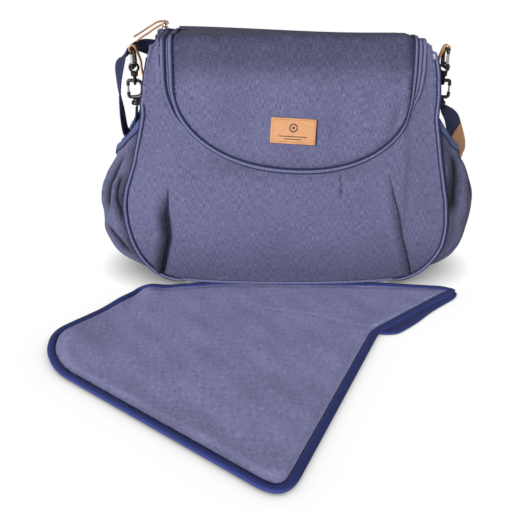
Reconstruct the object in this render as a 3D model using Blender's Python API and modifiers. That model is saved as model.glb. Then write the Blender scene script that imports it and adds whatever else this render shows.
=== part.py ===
"""Diaper bag with a soft lid, side pockets, snap hooks, shoulder strap and changing mat.

Metres, +Z up. The bag's front faces -Y. The origin is the centre of the flat base.
"""

from math import cos, pi, radians, sin

import bmesh
import bpy
import numpy as np
from mathutils import Matrix, Vector

# Driving dimensions of the bag body
SIDES = ((-1, "left"), (1, "right"))
BASE_HALF = 0.125  # half width of the flat base
BELLY_HALF = 0.186  # half width at the widest height of the front seam
TOP_HALF = 0.149  # half width at the top
BELLY_Z = 0.100
SEAM_Z = 0.009  # height of the lower seam above the floor
TOP_Z = 0.281
DEPTH_HALF = 0.060  # half depth at the side seams, low down
TOP_DEPTH_HALF = 0.040
FRONT_BULGE = 0.022
GUSSET_BULGE = 0.006
CLOTH = 0.0020  # panel thickness, lining foam included
GAP = 0.0004  # clearance between pieces that touch
SEAM_GAP = 0.0038  # from a seam to the gusset's edge, measured in depth
PIPING_RADIUS = 0.0024

# The mouth: the zip's line, and the flap over it
MOUTH_HALF = 0.1366
MOUTH_TURN_Z = 0.238  # where the straight sides turn into the round lower edge
MOUTH_LOW_Z = 0.162
MOUTH_CLEAR = 0.0006  # from the mouth's line to the cloth on each side of it
FLAP_EDGE = (0.1345, 0.232, 0.148)  # half width, then heights as for the mouth
FLAP_CLOTH = 0.0016
FLAP_TILT = 0.045  # the soft flap hangs lower on its right side
FLAP_SHIFT = 0.003
FLAP_OFFSET = 0.0078  # outer face of the flap over the front panel
LID_REAR_Y = 0.036
LIP = 0.0105  # how far the top of each gusset turns in
HINGE = (0, 0.0400, 0.2800)  # the soft fold behind the lid's rear edge
BEND_Z = 0.262  # the lid starts to bend over the top here
BEND_SHARES = [0, 0.06, 0.11, 0.16, 0.21, 0.28, 0.40, 0.70, 1]
FRONT_BEND_ROWS = 4  # the front panel follows the lid's bend this far
TAPE_EDGE = 0.0008  # from the mouth's line to each zip tape
TAPE_WIDTH = 0.0077
COIL_OFFSET = 0.0019

LABEL_SIZE = (0.048, 0.028)
LABEL_Z = 0.196
LABEL_THICKNESS = 0.0016
LABEL_TILT = 3.4  # degrees, clockwise from the front

# Side pockets, as their middle profile from the base to the top edge
POCKET_MID = [
    (0.152, 0.0040), (0.180, 0.0052), (0.200, 0.0150), (0.212, 0.0360),
    (0.2190, 0.0640), (0.2200, 0.0920), (0.2150, 0.1180), (0.2060, 0.1400), (0.1990, 0.1560),
]
POCKET_EDGE_Z = [0.0165, 0.0200, 0.0280, 0.0460, 0.0720, 0.1000, 0.1300, 0.1640, 0.2020]
POCKET_CLOTH = 0.0016
POCKET_POWER = 2.6  # how squarely the pocket swells between its two seams
BINDING_SHARE = 0.925  # share of the pocket's height below its binding

# Hooks on each side, as distances out from the middle of the bag and heights
HOOK_OUT = 0.1765
UPPER_HOOK = (0.2465, 0.2665)  # the middle of its wire, bottom and top
UPPER_HOOK_HALF = 0.0105
UPPER_GATE = (0.2512, 0.2618)  # the hook's opening, which its gate closes
SWIVEL_EYES = (0.2455, 0.2320)
EYE_RADIUS, EYE_WIRE = 0.0050, 0.0013
LOWER_HOOK = (0.2120, 0.2310)
LOWER_HOOK_HALF = 0.0082
LOWER_GATE = (0.2178, 0.2252)
UPPER_WIRE, LOWER_WIRE = 0.0019, 0.0017
UPPER_GATE_WIRE, LOWER_GATE_WIRE = 0.0015, 0.0010
COLLAR_Z = (0.2032, 0.2099)
LOOP_HALF = 0.0040  # half the width of the leather loop
SLIDER = (-0.1409, 0.018, 0.2850)  # the middle of its underside
SLIDER_SIZE = (0.0074, 0.0115, 0.0030)
BAIL_HALF, BAIL_RISE, BAIL_WIRE = 0.0042, 0.0040, 0.0007
PULL_WIDTH, PULL_THICKNESS = 0.0048, 0.0012
STRAP_WIDTH = 0.025
STRAP_END_WIDTH = 0.012
STRAP_THICKNESS = 0.0016

# The changing mat on the floor, corner by corner, with the radius of each corner
MAT_OUTLINE = [
    ((-0.252, -0.181), 0.018), ((-0.250, -0.215), 0.015), ((-0.233, -0.248), 0.020),
    ((-0.0145, -0.418), 0.030), ((0.092, -0.179), 0.006), ((0.200, -0.085), 0.008),
    ((0.183, -0.0765), 0.006), ((0.110, -0.0675), 0.010), ((-0.073, -0.0625), 0.010),
    ((-0.176, -0.0780), 0.008), ((-0.193, -0.1065), 0.010),
]
UNDER_OUTLINE = [
    ((0.045, -0.150), 0.004), ((0.097, -0.1775), 0.004), ((0.113, -0.1765), 0.015),
    ((0.1363, -0.156), 0.020), ((0.1604, -0.1285), 0.020), ((0.193, -0.0995), 0.010),
    ((0.200, -0.086), 0.006), ((0.150, -0.073), 0.006), ((0.060, -0.070), 0.004),
]
MAT_BINDING = 0.008

# The strap's route: place and the way its outer face looks, from the left collar to the right one
STRAP_ROUTE = [
    ((-0.1765, 0.000, 0.2014), (1, 0, 0)), ((-0.1785, 0.000, 0.1850), (1, 0, 0)),
    ((-0.1820, 0.000, 0.1725), (0.8, 0, -0.6)), ((-0.1880, 0.001, 0.1680), (0, 0, -1)),
    ((-0.1930, 0.003, 0.1740), (-0.9, 0, -0.4)), ((-0.1955, 0.007, 0.1950), (-1, 0, 0)),
    ((-0.1975, 0.012, 0.2220), (-0.95, -0.3, 0)), ((-0.1950, 0.018, 0.2480), (-0.8, -0.5, 0.2)),
    ((-0.1865, 0.028, 0.2640), (-0.8, 0.1, 0.6)), ((-0.1740, 0.045, 0.2700), (-0.3, 0.6, 0.8)),
    ((-0.1500, 0.059, 0.2620), (0, 1, 0.3)), ((-0.1150, 0.063, 0.2480), (0, 1, 0)),
    ((-0.0600, 0.0670, 0.2120), (0, 1, 0)), ((0.0000, 0.0735, 0.1660), (0, 1, 0)),
    ((0.0600, 0.0800, 0.1200), (0, 1, 0)), ((0.1150, 0.085, 0.0760), (0, 1, 0)),
    ((0.1600, 0.086, 0.0480), (0.2, 1, 0)), ((0.1950, 0.084, 0.0420), (0.6, 1, 0)),
    ((0.2180, 0.077, 0.0620), (1, 0.5, 0)), ((0.2260, 0.066, 0.0950), (1, 0, 0)),
    ((0.2200, 0.050, 0.1300), (0.9, -0.4, 0.1)), ((0.2095, 0.036, 0.1580), (0.85, -0.5, 0.1)),
    ((0.1935, 0.017, 0.1810), (0.9, -0.4, 0)), ((0.1800, 0.002, 0.1930), (1, 0, 0)),
    ((0.1765, 0.000, 0.2014), (1, 0, 0)),
]
STRAP_STEPS = 84

COLOURS = {
    "denim_fabric": ((0.16, 0.16, 0.30), 0.85, 0.0),
    "navy_trim": ((0.03, 0.05, 0.16), 0.75, 0.0),
    "lining_fabric": ((0.05, 0.06, 0.14), 0.70, 0.0),
    "tan_leather": ((0.80, 0.45, 0.22), 0.55, 0.0),
    "brown_leather": ((0.36, 0.16, 0.07), 0.55, 0.0),
    "black_plastic": ((0.015, 0.015, 0.018), 0.40, 0.0),
    "silver_metal": ((0.62, 0.62, 0.60), 0.30, 1.0),
    "grey_board": ((0.20, 0.20, 0.20), 0.80, 0.0),
}


def clear_scene():
    for obj in list(bpy.data.objects):
        bpy.data.objects.remove(obj)


def new_collection(name):
    collection = bpy.data.collections.new(name)
    bpy.context.scene.collection.children.link(collection)
    return collection


def material(obj, kind):
    colour, roughness, metallic = COLOURS[kind]
    made = bpy.data.materials.new(obj.name + "_material")
    made.use_nodes = True
    shader = made.node_tree.nodes["Principled BSDF"]
    shader.inputs["Base Color"].default_value = (*colour, 1)
    shader.inputs["Roughness"].default_value = roughness
    shader.inputs["Metallic"].default_value = metallic
    obj.data.materials.append(made)


def add_object(name, data, kind):
    obj = bpy.data.objects.new(name, data)
    PARTS.objects.link(obj)
    if kind:
        material(obj, kind)
    return obj


def solidify(obj, thickness, offset=-1.0):
    shell = obj.modifiers.new("thickness", "SOLIDIFY")
    shell.thickness = thickness
    shell.offset = offset
    shell.use_even_offset = True


def surface(name, kind, us, vs, place, thickness, offset=-1.0):
    """A grid of points place(u, v), thickened. Its outside is along d/du x d/dv."""
    bm = bmesh.new()
    bmesh.ops.create_grid(bm, x_segments=len(us) - 1, y_segments=len(vs) - 1, size=1.0)
    for vert in bm.verts:
        u = us[round((vert.co.x + 1) / 2 * (len(us) - 1))]
        v = vs[round((vert.co.y + 1) / 2 * (len(vs) - 1))]
        vert.co = place(u, v)
    mesh = bpy.data.meshes.new(name)
    bm.to_mesh(mesh)
    bm.free()
    mesh.shade_smooth()
    obj = add_object(name, mesh, kind)
    solidify(obj, thickness, offset)
    return obj


def tube(name, kind, points, radius, resolution=1, cyclic=False):
    data = bpy.data.curves.new(name, "CURVE")
    data.dimensions = "3D"
    data.bevel_depth = radius
    data.bevel_resolution = resolution
    data.use_fill_caps = not cyclic
    data.resolution_u = 1
    data.render_resolution_u = 0
    spline = data.splines.new("POLY")
    spline.points.add(len(points) - 1)
    for target, point in zip(spline.points, points):
        target.co = (*point, 1)
    spline.use_cyclic_u = cyclic
    return add_object(name, data, kind)


def block(name, kind, size, place):
    bm = bmesh.new()
    bmesh.ops.create_cube(bm, size=1.0)
    bmesh.ops.scale(bm, vec=size, verts=bm.verts)
    mesh = bpy.data.meshes.new(name)
    bm.to_mesh(mesh)
    bm.free()
    obj = add_object(name, mesh, kind)
    obj.location = place
    return obj


def turned(name, kind, profile, place, steps=16):
    """A profile of (radius, height) from its top to its bottom, turned round Z at place."""
    mesh = bpy.data.meshes.new(name)
    edges = [(i, i + 1) for i in range(len(profile) - 1)]
    mesh.from_pydata([(r, 0, z) for r, z in profile], edges, [])
    obj = add_object(name, mesh, kind)
    obj.location = place
    screw = obj.modifiers.new("turn", "SCREW")
    screw.steps = screw.render_steps = steps
    screw.use_merge_vertices = True
    screw.merge_threshold = 0.00001
    return obj


def spread(first, last, count):
    return [first + (last - first) * i / (count - 1) for i in range(count)]


def smooth_path(points, count):
    """Evenly spaced points on a Catmull-Rom curve through the points."""
    p = np.array(points, float)
    ends = np.vstack([2 * p[0] - p[1], p, 2 * p[-1] - p[-2]])
    fine = []
    for i in range(1, len(ends) - 2):
        a, b, c, d = ends[i - 1], ends[i], ends[i + 1], ends[i + 2]
        for t in np.linspace(0, 1, 12, endpoint=False):
            fine.append(
                0.5 * (2 * b + (c - a) * t + (2 * a - 5 * b + 4 * c - d) * t**2
                       + (3 * b - a - 3 * c + d) * t**3)
            )
    fine = np.array(fine + [p[-1]])
    run = np.concatenate([[0], np.cumsum(np.linalg.norm(np.diff(fine[:, :3], axis=0), axis=1))])
    at = np.linspace(0, run[-1], count)
    return np.stack([np.interp(at, run, fine[:, k]) for k in range(fine.shape[1])], axis=1)


# The envelope of the bag body


def half_width(z):
    """Half the width of the front and back seams at a height."""
    if z < BELLY_Z:
        low = min(1.0, (BELLY_Z - z) / (BELLY_Z - SEAM_Z))
        return BASE_HALF + (BELLY_HALF - BASE_HALF) * (1 - low**2.2) ** (1 / 2.2)
    t, soft = (z - BELLY_Z) / (TOP_Z - BELLY_Z), 0.12
    fall = ((t * t + soft * soft) ** 0.5 - soft) / ((1 + soft * soft) ** 0.5 - soft)
    return BELLY_HALF - (BELLY_HALF - TOP_HALF) * fall


def half_depth(z):
    """Half the depth between the front and back seams at a height."""
    up = max(0.0, (z - 0.08) / 0.2)
    return DEPTH_HALF - (DEPTH_HALF - TOP_DEPTH_HALF) * up**1.6


def bulge(z):
    return 0.005 + FRONT_BULGE * np.exp(-(((z - BELLY_Z) / 0.085) ** 2))


def front_y(x, z):
    side = min(1.0, abs(x) / half_width(z))
    return -(half_depth(z) + bulge(z) * (1 - side**2.5))


def back_y(x, z):
    side = min(1.0, abs(x) / half_width(z))
    return half_depth(z) + 0.3 * bulge(z) * (1 - side**2.5)


def gusset_bulge(z):
    """The gusset swells low down and is drawn in between its seams higher up."""
    t = min(1.0, max(0.0, (z - 0.13) / 0.06))
    return GUSSET_BULGE * (1 - 2 * t * t * (3 - 2 * t))


def outline_normal(z):
    """The way out of the body's outline, as (across, up)."""
    step = 0.0004
    slope = (half_width(z + step) - half_width(max(z - step, SEAM_Z))) / (
        z + step - max(z - step, SEAM_Z)
    )
    size = (1 + slope * slope) ** 0.5
    return 1 / size, -slope / size


BODY_ROWS = [
    0.009, 0.0115, 0.017, 0.028, 0.046, 0.072, 0.100, 0.130, 0.160, 0.190, 0.220, 0.250, 0.279,
]
SEAM_COLUMNS = [-1, -0.92, -0.75, -0.5, -0.25, 0, 0.25, 0.5, 0.75, 0.92, 1]


def lid_profile():
    """The (y, z) points from the front's lower edge over the top to the rear, at the middle."""
    rising = [(front_y(0, z), z) for z in np.linspace(0.140, 0.267, 40)]
    (y1, z1), (y0, z0) = rising[-1], rising[-2]
    corner = y1 + (y1 - y0) / (z1 - z0) * (TOP_Z - z1)
    turn = [
        ((1 - t) ** 2 * y1 + 2 * t * (1 - t) * corner + t * t * (corner + 0.014),
         (1 - t) ** 2 * z1 + (1 - (1 - t) ** 2) * TOP_Z)
        for t in np.linspace(0.05, 1, 16)
    ]
    top = [(y, TOP_Z) for y in np.linspace(corner + 0.016, LID_REAR_Y, 14)]
    return np.array(rising + turn + top)


PROFILE = lid_profile()
PROFILE_RUN = np.concatenate([[0], np.cumsum(np.linalg.norm(np.diff(PROFILE, axis=0), axis=1))])
PROFILE_END = float(PROFILE_RUN[-1])


def run_at(z):
    """How far along the lid's profile the front reaches a height."""
    front = PROFILE[:, 1] < TOP_Z - 1e-6
    return float(np.interp(z, PROFILE[front, 1], PROFILE_RUN[front]))


def bend_runs():
    first = run_at(BEND_Z)
    return [first + (PROFILE_END - first) * share for share in BEND_SHARES]


def on_lid(x, run, out):
    """The point over the lid's profile at x, out from the bag's surface."""
    run = min(max(run, 0.0), PROFILE_END)
    y, z = (float(np.interp(run, PROFILE_RUN, PROFILE[:, k])) for k in range(2))
    ahead, behind = min(run + 0.002, PROFILE_END), max(run - 0.002, 0.0)
    dy, dz = (
        float(np.interp(ahead, PROFILE_RUN, PROFILE[:, k]))
        - float(np.interp(behind, PROFILE_RUN, PROFILE[:, k]))
        for k in range(2)
    )
    size = (dy * dy + dz * dz) ** 0.5
    front = min(1.0, max(0.0, dz / size))
    side = min(1.0, abs(x) / half_width(min(z, TOP_Z)))
    return Vector((x, y - dz / size * out + front * bulge(z) * side**2.5, z + dy / size * out))


def lower_edge(share, turn_z, low_z, tilt=0.0):
    """The height of a rounded lower edge at a share of its half width."""
    return turn_z - (turn_z - low_z) * (1 - min(1.0, abs(share)) ** 2.2) ** (1 / 2.2) - tilt * share


def edge_route(half, turn_z, low_z, out, grow=0.0, tilt=0.0, shift=0.0, count=17):
    """Points along the sides and the lower edge of a lid piece, from its rear left to its rear right."""
    share = [sin(a) for a in np.linspace(-pi / 2, pi / 2, 2 * count)]
    low = []
    for s in share:
        z = lower_edge(s, turn_z, low_z, tilt * half)
        low.append((shift + s * (half + grow), run_at(z) - grow * (1 - abs(s) ** 2.2)))
    upright = [low[0][1] + (bend_runs()[0] - low[0][1]) * share for share in (0.33, 0.67)]
    sides = upright + bend_runs()
    left = [(shift - half - grow, run) for run in sides[::-1]]
    right = [(shift + half + grow, run) for run in sides]
    return [on_lid(x, run, out) for x, run in left + low + right]


def make_body():
    def front_place(s, row):
        if row < 0:  # a distance along the lid's profile
            z = min(TOP_Z, on_lid(0, -row, 0).z)
            return on_lid(s * half_width(z), -row, 0)
        return (s * half_width(row), front_y(s * half_width(row), row), row)

    def back_place(s, z):
        return (s * half_width(z), back_y(s * half_width(z), z), z)

    rows = BODY_ROWS[:-1] + [-run for run in bend_runs()[:FRONT_BEND_ROWS]]
    front = surface("front_panel", "denim_fabric", SEAM_COLUMNS, rows, front_place, CLOTH)
    cut_mouth(front)
    surface("back_panel", "denim_fabric", [-s for s in SEAM_COLUMNS], BODY_ROWS, back_place, CLOTH)
    for side, name in SIDES:
        make_gusset(side, name)
    make_base()
    for name, sign in (("front_piping", -1), ("back_piping", 1)):
        tube(name, "denim_fabric", piping_route(sign), PIPING_RADIUS)


def cut_mouth(front):
    """Cuts the front panel away inside the zip's line."""
    half, above, depth = MOUTH_HALF + MOUTH_CLEAR, TOP_Z + 0.03, 0.12
    lower = [
        (s * half, lower_edge(s, MOUTH_TURN_Z, MOUTH_LOW_Z - MOUTH_CLEAR))
        for s in [sin(a) for a in np.linspace(-pi / 2, pi / 2, 25)]
    ]
    outline = [(-half, above)] + lower + [(half, above)]
    bm = bmesh.new()
    face = bm.faces.new([bm.verts.new((x, -depth, z)) for x, z in outline])
    moved = bmesh.ops.extrude_face_region(bm, geom=[face])["geom"]
    far = [item for item in moved if isinstance(item, bmesh.types.BMVert)]
    bmesh.ops.translate(bm, vec=(0, depth, 0), verts=far)
    bmesh.ops.recalc_face_normals(bm, faces=bm.faces)
    mesh = bpy.data.meshes.new("mouth_cutter")
    bm.to_mesh(mesh)
    bm.free()
    cutter = bpy.data.objects.new("mouth_cutter", mesh)
    CUTTERS.objects.link(cutter)
    cutter.hide_render = True
    cutter.display_type = "WIRE"
    cut = front.modifiers.new("mouth", "BOOLEAN")
    cut.operation = "DIFFERENCE"
    cut.object = cutter


def make_gusset(side, name):
    rows = BODY_ROWS[:-1] + [0.2700, 0.2765, 0.2800, 0.2810]
    lip = {0.2765: 0.0006, 0.2800: 0.0040, 0.2810: LIP}

    def place(a, z):
        drop = SEAM_Z * (1 - abs(a) ** 6) * max(0.0, 1 - (z - SEAM_Z) / 0.05) ** 2
        share = lip.get(z, 0.0) / LIP
        out = half_width(z) + gusset_bulge(z) * (1 - a * a) * min(1.0, (z - SEAM_Z) / 0.02)
        out += (half_width(z) - LIP - out) * share
        ends = 0.0016 * max(0.0, abs(a) - 0.6) / 0.4 * share
        lift = GAP if z == rows[0] else 0
        return (side * out, side * a * (half_depth(z) - SEAM_GAP), z - drop - ends + lift)

    surface(name + "_gusset", "denim_fabric", spread(-1, 1, 9), rows, place, CLOTH)


def make_base():
    """The base is flat on the floor and curls up to the lower seams."""
    edge, flat, margin = 0.0034, 0.72, 0.0015

    def place(x, v):
        y0, y1 = front_y(x, SEAM_Z) + edge, back_y(x, SEAM_Z) - edge
        curl = max(0.0, abs(2 * v - 1) - flat) / (1 - flat)
        return (x, y0 + (y1 - y0) * v, (SEAM_Z + 0.0005) * (1 - (1 - curl) ** 2))

    surface("base_panel", "denim_fabric", spread(BASE_HALF - margin, margin - BASE_HALF, 9),
            [0, 0.05, 0.10, 0.14, 0.5, 0.86, 0.90, 0.95, 1], place, CLOTH)


PIPING_ROWS = [
    0.2815, 0.262, 0.24, 0.215, 0.19, 0.165, 0.14, 0.12, 0.1,
    0.08, 0.06, 0.044, 0.03, 0.020, 0.0145, 0.0115, 0.0100,
]


def piping_route(sign):
    """Along the front seam (sign -1) or the back one, down one side, across and up the other."""
    route = []
    seam = front_y if sign < 0 else back_y
    for side in (-1, 1):
        column = []
        for z in PIPING_ROWS:
            across, up = outline_normal(z)
            wall = abs(seam(half_width(z), z + 0.002))
            column.append((
                side * (half_width(z) + 0.0022 * across),
                sign * max(half_depth(z) + 0.0023, wall + 0.0027),
                z + 0.0022 * up,
            ))
        route.append(column)
    low = [
        (x, seam(x, SEAM_Z + 0.0025) + sign * 0.0030, SEAM_Z - 0.0006)
        for x in spread(0.001 - BASE_HALF, BASE_HALF - 0.001, 9)
    ]
    return route[0] + low + route[1][::-1]


LINING_ROWS = [0.016, 0.028, 0.046, 0.072, 0.100, 0.130, 0.152]
LINING_COLUMNS = [s for s in SEAM_COLUMNS if abs(s) != 0.92]
LINING_INSET = 0.0032  # from the bag's outer face
LINING_CLOTH = 0.0008
BOARD_SIZE = (0.230, 0.076, 0.0030)
BOARD_Z = 0.0043
INNER_POCKET_HALF = 0.10
INNER_POCKET_Z = [0.040, 0.047, 0.056, 0.070, 0.100, 0.130, 0.165]
INNER_POCKET_SHARES = [-1, -0.96, -0.88, -0.72, -0.4, 0, 0.4, 0.72, 0.88, 0.96, 1]


def make_inside():
    """The lining hangs loose inside the body, its side edges clear of one another."""
    def front_place(s, z):
        return (s * (half_width(z) - 0.010), front_y(s * half_width(z), z) + LINING_INSET, z)

    def back_place(s, z):
        return (s * (half_width(z) - 0.010), back_y(s * half_width(z), z) - LINING_INSET, z)

    def pocket_place(s, z):
        """A patch sewn on along its sides and lower edge, and open at the top."""
        x = s * INNER_POCKET_HALF
        loose = (1 - abs(s) ** 6) * min(1.0, (z - INNER_POCKET_Z[0]) / 0.016)
        return (x, back_y(x, z) - 0.0047 - 0.0105 * loose, z)

    surface("lining_front", "lining_fabric", LINING_COLUMNS, LINING_ROWS, front_place, LINING_CLOTH)
    surface("lining_back", "lining_fabric", [-s for s in LINING_COLUMNS],
            LINING_ROWS + [0.19, 0.22, 0.25, 0.272], back_place, LINING_CLOTH)
    for side, name in SIDES:
        def side_place(a, z):
            out = half_width(z) + gusset_bulge(z) * (1 - a * a) - 0.0058
            return (side * out, side * a * (half_depth(z) - 0.010), z)

        surface("lining_" + name, "lining_fabric", spread(-1, 1, 5),
                LINING_ROWS + [0.19, 0.22, 0.25, 0.268], side_place, LINING_CLOTH)
    surface("inner_pocket", "lining_fabric", [-s for s in INNER_POCKET_SHARES], INNER_POCKET_Z,
            pocket_place, 0.0010)
    block("base_board", "grey_board", BOARD_SIZE, (0, -0.001, BOARD_Z))


def make_pockets():
    mid = smooth_path([(x, 0, z) for x, z in POCKET_MID], 60)
    edge_z = smooth_path([(z, 0, i) for i, z in enumerate(POCKET_EDGE_Z)], 60)
    shares = np.linspace(0, 1, 60)

    def point(side, a, t, out=0.0):
        mx, mz = np.interp(t, shares, mid[:, 0]), np.interp(t, shares, mid[:, 2])
        z = float(np.interp(t, shares, edge_z[:, 0]))
        across, up = outline_normal(z)
        ex, ez = half_width(z) + 0.0030 * across, z + 0.0030 * up
        full = 1 - abs(a) ** POCKET_POWER
        depth = half_depth(z) - 0.0048
        x = ex + (mx - ex) * full + out
        return (side * x, side * a * depth, ez + (mz - ez) * full)

    for side, name in SIDES:
        surface(name + "_pocket", "denim_fabric", spread(-1, 1, 11),
                [BINDING_SHARE * t for t in spread(0, 1, 11)],
                lambda a, t: point(side, a, t), POCKET_CLOTH)
        surface(name + "_pocket_binding", "navy_trim", spread(-1, 1, 11),
                [BINDING_SHARE + 0.004, 0.965, 1.0],
                lambda a, t: point(side, a, t, 0.0004), POCKET_CLOTH + 0.0008)


def make_lid():
    steps = [sin(a) for a in np.linspace(-pi / 2, pi / 2, 15)]
    rows = [0, 0.12, 0.32, 0.6] + [1 + share for share in BEND_SHARES]
    bend = run_at(BEND_Z)

    def sheet(half, turn_z, low_z, out, tilt=0.0, shift=0.0):
        def place(s, v):
            if v <= 1:  # the hanging front
                low = run_at(lower_edge(s, turn_z, low_z, tilt * half))
                run = low + (bend - low) * v
            else:  # the bend and the top
                run = bend + (PROFILE_END - bend) * (v - 1)
            return on_lid(shift + s * half, run, out)
        return place

    surface("lid_panel", "denim_fabric", steps, rows,
            sheet(MOUTH_HALF - MOUTH_CLEAR, MOUTH_TURN_Z, MOUTH_LOW_Z + MOUTH_CLEAR, 0.0), CLOTH)
    surface("flap", "denim_fabric", steps, rows,
            sheet(*FLAP_EDGE, FLAP_OFFSET, FLAP_TILT, FLAP_SHIFT), FLAP_CLOTH)
    surface("flap_lining", "lining_fabric", steps, [0.03] + rows[1:],
            sheet(*FLAP_EDGE, FLAP_OFFSET - FLAP_CLOTH - GAP, FLAP_TILT, FLAP_SHIFT), 0.0010)
    tube("flap_piping", "denim_fabric",
         edge_route(*FLAP_EDGE, FLAP_OFFSET - 0.0012, 0.0030, FLAP_TILT, FLAP_SHIFT), 0.0022)
    tilt = radians(LABEL_TILT)
    middle = run_at(LABEL_Z)

    def label(u, v):
        across, up = u * LABEL_SIZE[0] / 2, v * LABEL_SIZE[1] / 2
        x = across * cos(tilt) + up * sin(tilt)
        run = middle + up * cos(tilt) - across * sin(tilt)
        return on_lid(FLAP_SHIFT + x, run, FLAP_OFFSET + GAP + LABEL_THICKNESS)

    surface("label_plate", "tan_leather", spread(-1, 1, 5), spread(-1, 1, 4), label, LABEL_THICKNESS)


def make_zip():
    """Two tapes and two coils along the mouth's line, one pair on the body and one on the lid."""
    def along(out, grow):
        return edge_route(MOUTH_HALF, MOUTH_TURN_Z, MOUTH_LOW_Z, out, grow)

    inner, outer = TAPE_EDGE, TAPE_EDGE + TAPE_WIDTH
    for name, low, high in (("zip_tape_body", inner, outer), ("zip_tape_lid", -outer, -inner)):
        edges = (along(0.0013, high), along(0.0013, low))
        surface(name, "navy_trim", list(range(len(edges[0]))), [0, 1],
                lambda i, v: edges[v][i], 0.0008)
    for name, grow in (("zip_coil_body", COIL_OFFSET), ("zip_coil_lid", -COIL_OFFSET)):
        tube(name, "navy_trim", along(0.0026, grow), 0.0010)


def arc(centre, radius, first, last, count):
    """Points on a circle, by angles in degrees from the first axis towards the second."""
    return [
        (centre[0] + radius * cos(radians(a)), centre[1] + radius * sin(radians(a)))
        for a in spread(first, last, count)
    ]


def open_ring(half, low, high, corner, opening):
    """A rounded upright ring in (across, up), open on its +across side between two heights."""
    points = [(half, opening[0])]
    for centre, first in (
        ((half - corner, low + corner), 0), ((-half + corner, low + corner), -90),
        ((-half + corner, high - corner), -180), ((half - corner, high - corner), -270),
    ):
        points += arc(centre, corner, first, first - 90, 4)
    return points + [(half, opening[1])]


def make_swivel(side, name):
    """Two eyes at right angles on a short barrel, as one body."""
    x = side * HOOK_OUT
    upper, lower = SWIVEL_EYES
    made = []
    for z, turn in ((upper, (pi / 2, 0, 0)), (lower, (0, pi / 2, 0))):
        bpy.ops.mesh.primitive_torus_add(
            major_radius=EYE_RADIUS, minor_radius=EYE_WIRE, major_segments=16, minor_segments=6,
            location=(x, 0, z), rotation=turn)
        made.append(bpy.context.object)
    bpy.ops.mesh.primitive_cylinder_add(radius=0.0032, depth=0.0034, vertices=12,
                                        location=(x, 0, (upper + lower) / 2))
    made.append(bpy.context.object)
    for obj in made:
        for collection in list(obj.users_collection):
            collection.objects.unlink(obj)
    swivel, cutters = made[0], made[1:]
    swivel.name = "hook_swivel_" + name
    PARTS.objects.link(swivel)
    material(swivel, "black_plastic")
    for tool in cutters:
        CUTTERS.objects.link(tool)
        tool.hide_render = True
        tool.display_type = "WIRE"
        join = swivel.modifiers.new("join", "BOOLEAN")
        join.operation = "UNION"
        join.object = tool


def make_loop(side, name):
    """The leather strip that is sewn to the gusset and folds over the upper hook's wire."""
    path = [(half_width(z) + gusset_bulge(z) + 0.0020, z) for z in (0.188, 0.198, 0.208)]
    path += [(0.1610, 0.219), (0.1652, 0.230), (0.1680, 0.242), (0.1686, 0.252), (0.1712, 0.2610)]
    path += arc((HOOK_OUT, UPPER_HOOK[1]), 0.0030, 180, -110, 9)
    surface("leather_loop_" + name, "tan_leather", list(range(len(path))), [side, -side],
            lambda i, v: (side * path[i][0], v * LOOP_HALF, path[i][1]), 0.0014)
    rivet = turned("loop_rivet_" + name, "silver_metal",
                   [(0, 0.0012), (0.0016, 0.0009), (0.0024, 0), (0, 0)],
                   (side * (half_width(0.198) + gusset_bulge(0.198) + 0.0026), 0, 0.198), 12)
    rivet.rotation_euler = (0, side * pi / 2, 0)


def make_hooks(side, name):
    x = side * HOOK_OUT
    upper = open_ring(UPPER_HOOK_HALF, *UPPER_HOOK, 0.0045, UPPER_GATE)
    tube("upper_hook_" + name, "black_plastic", [(x, -y, z) for y, z in upper], UPPER_WIRE, 2)
    gate = [(x, -UPPER_HOOK_HALF, z) for z in (UPPER_GATE[0] + GAP, UPPER_GATE[1] - GAP)]
    tube("upper_gate_" + name, "silver_metal", gate, UPPER_GATE_WIRE, 2)
    lower = open_ring(LOWER_HOOK_HALF, *LOWER_HOOK, 0.0050, LOWER_GATE)
    tube("lower_hook_" + name, "black_plastic",
         [(side * (HOOK_OUT + across), 0, z) for across, z in lower], LOWER_WIRE, 2)
    gate_x = side * (HOOK_OUT + LOWER_HOOK_HALF)
    gate = [(gate_x, 0, z) for z in (LOWER_GATE[0] + GAP, LOWER_GATE[1] - GAP)]
    tube("lower_gate_" + name, "silver_metal", gate, LOWER_GATE_WIRE, 2)
    low, high = COLLAR_Z
    turned("strap_collar_" + name, "black_plastic",
           [(0, high), (0.0036, high), (0.0040, high - 0.0022), (0.0058, high - 0.0034),
            (0.0058, low + 0.0012), (0.0046, low), (0, low)], (x, 0, 0), 14)


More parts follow.
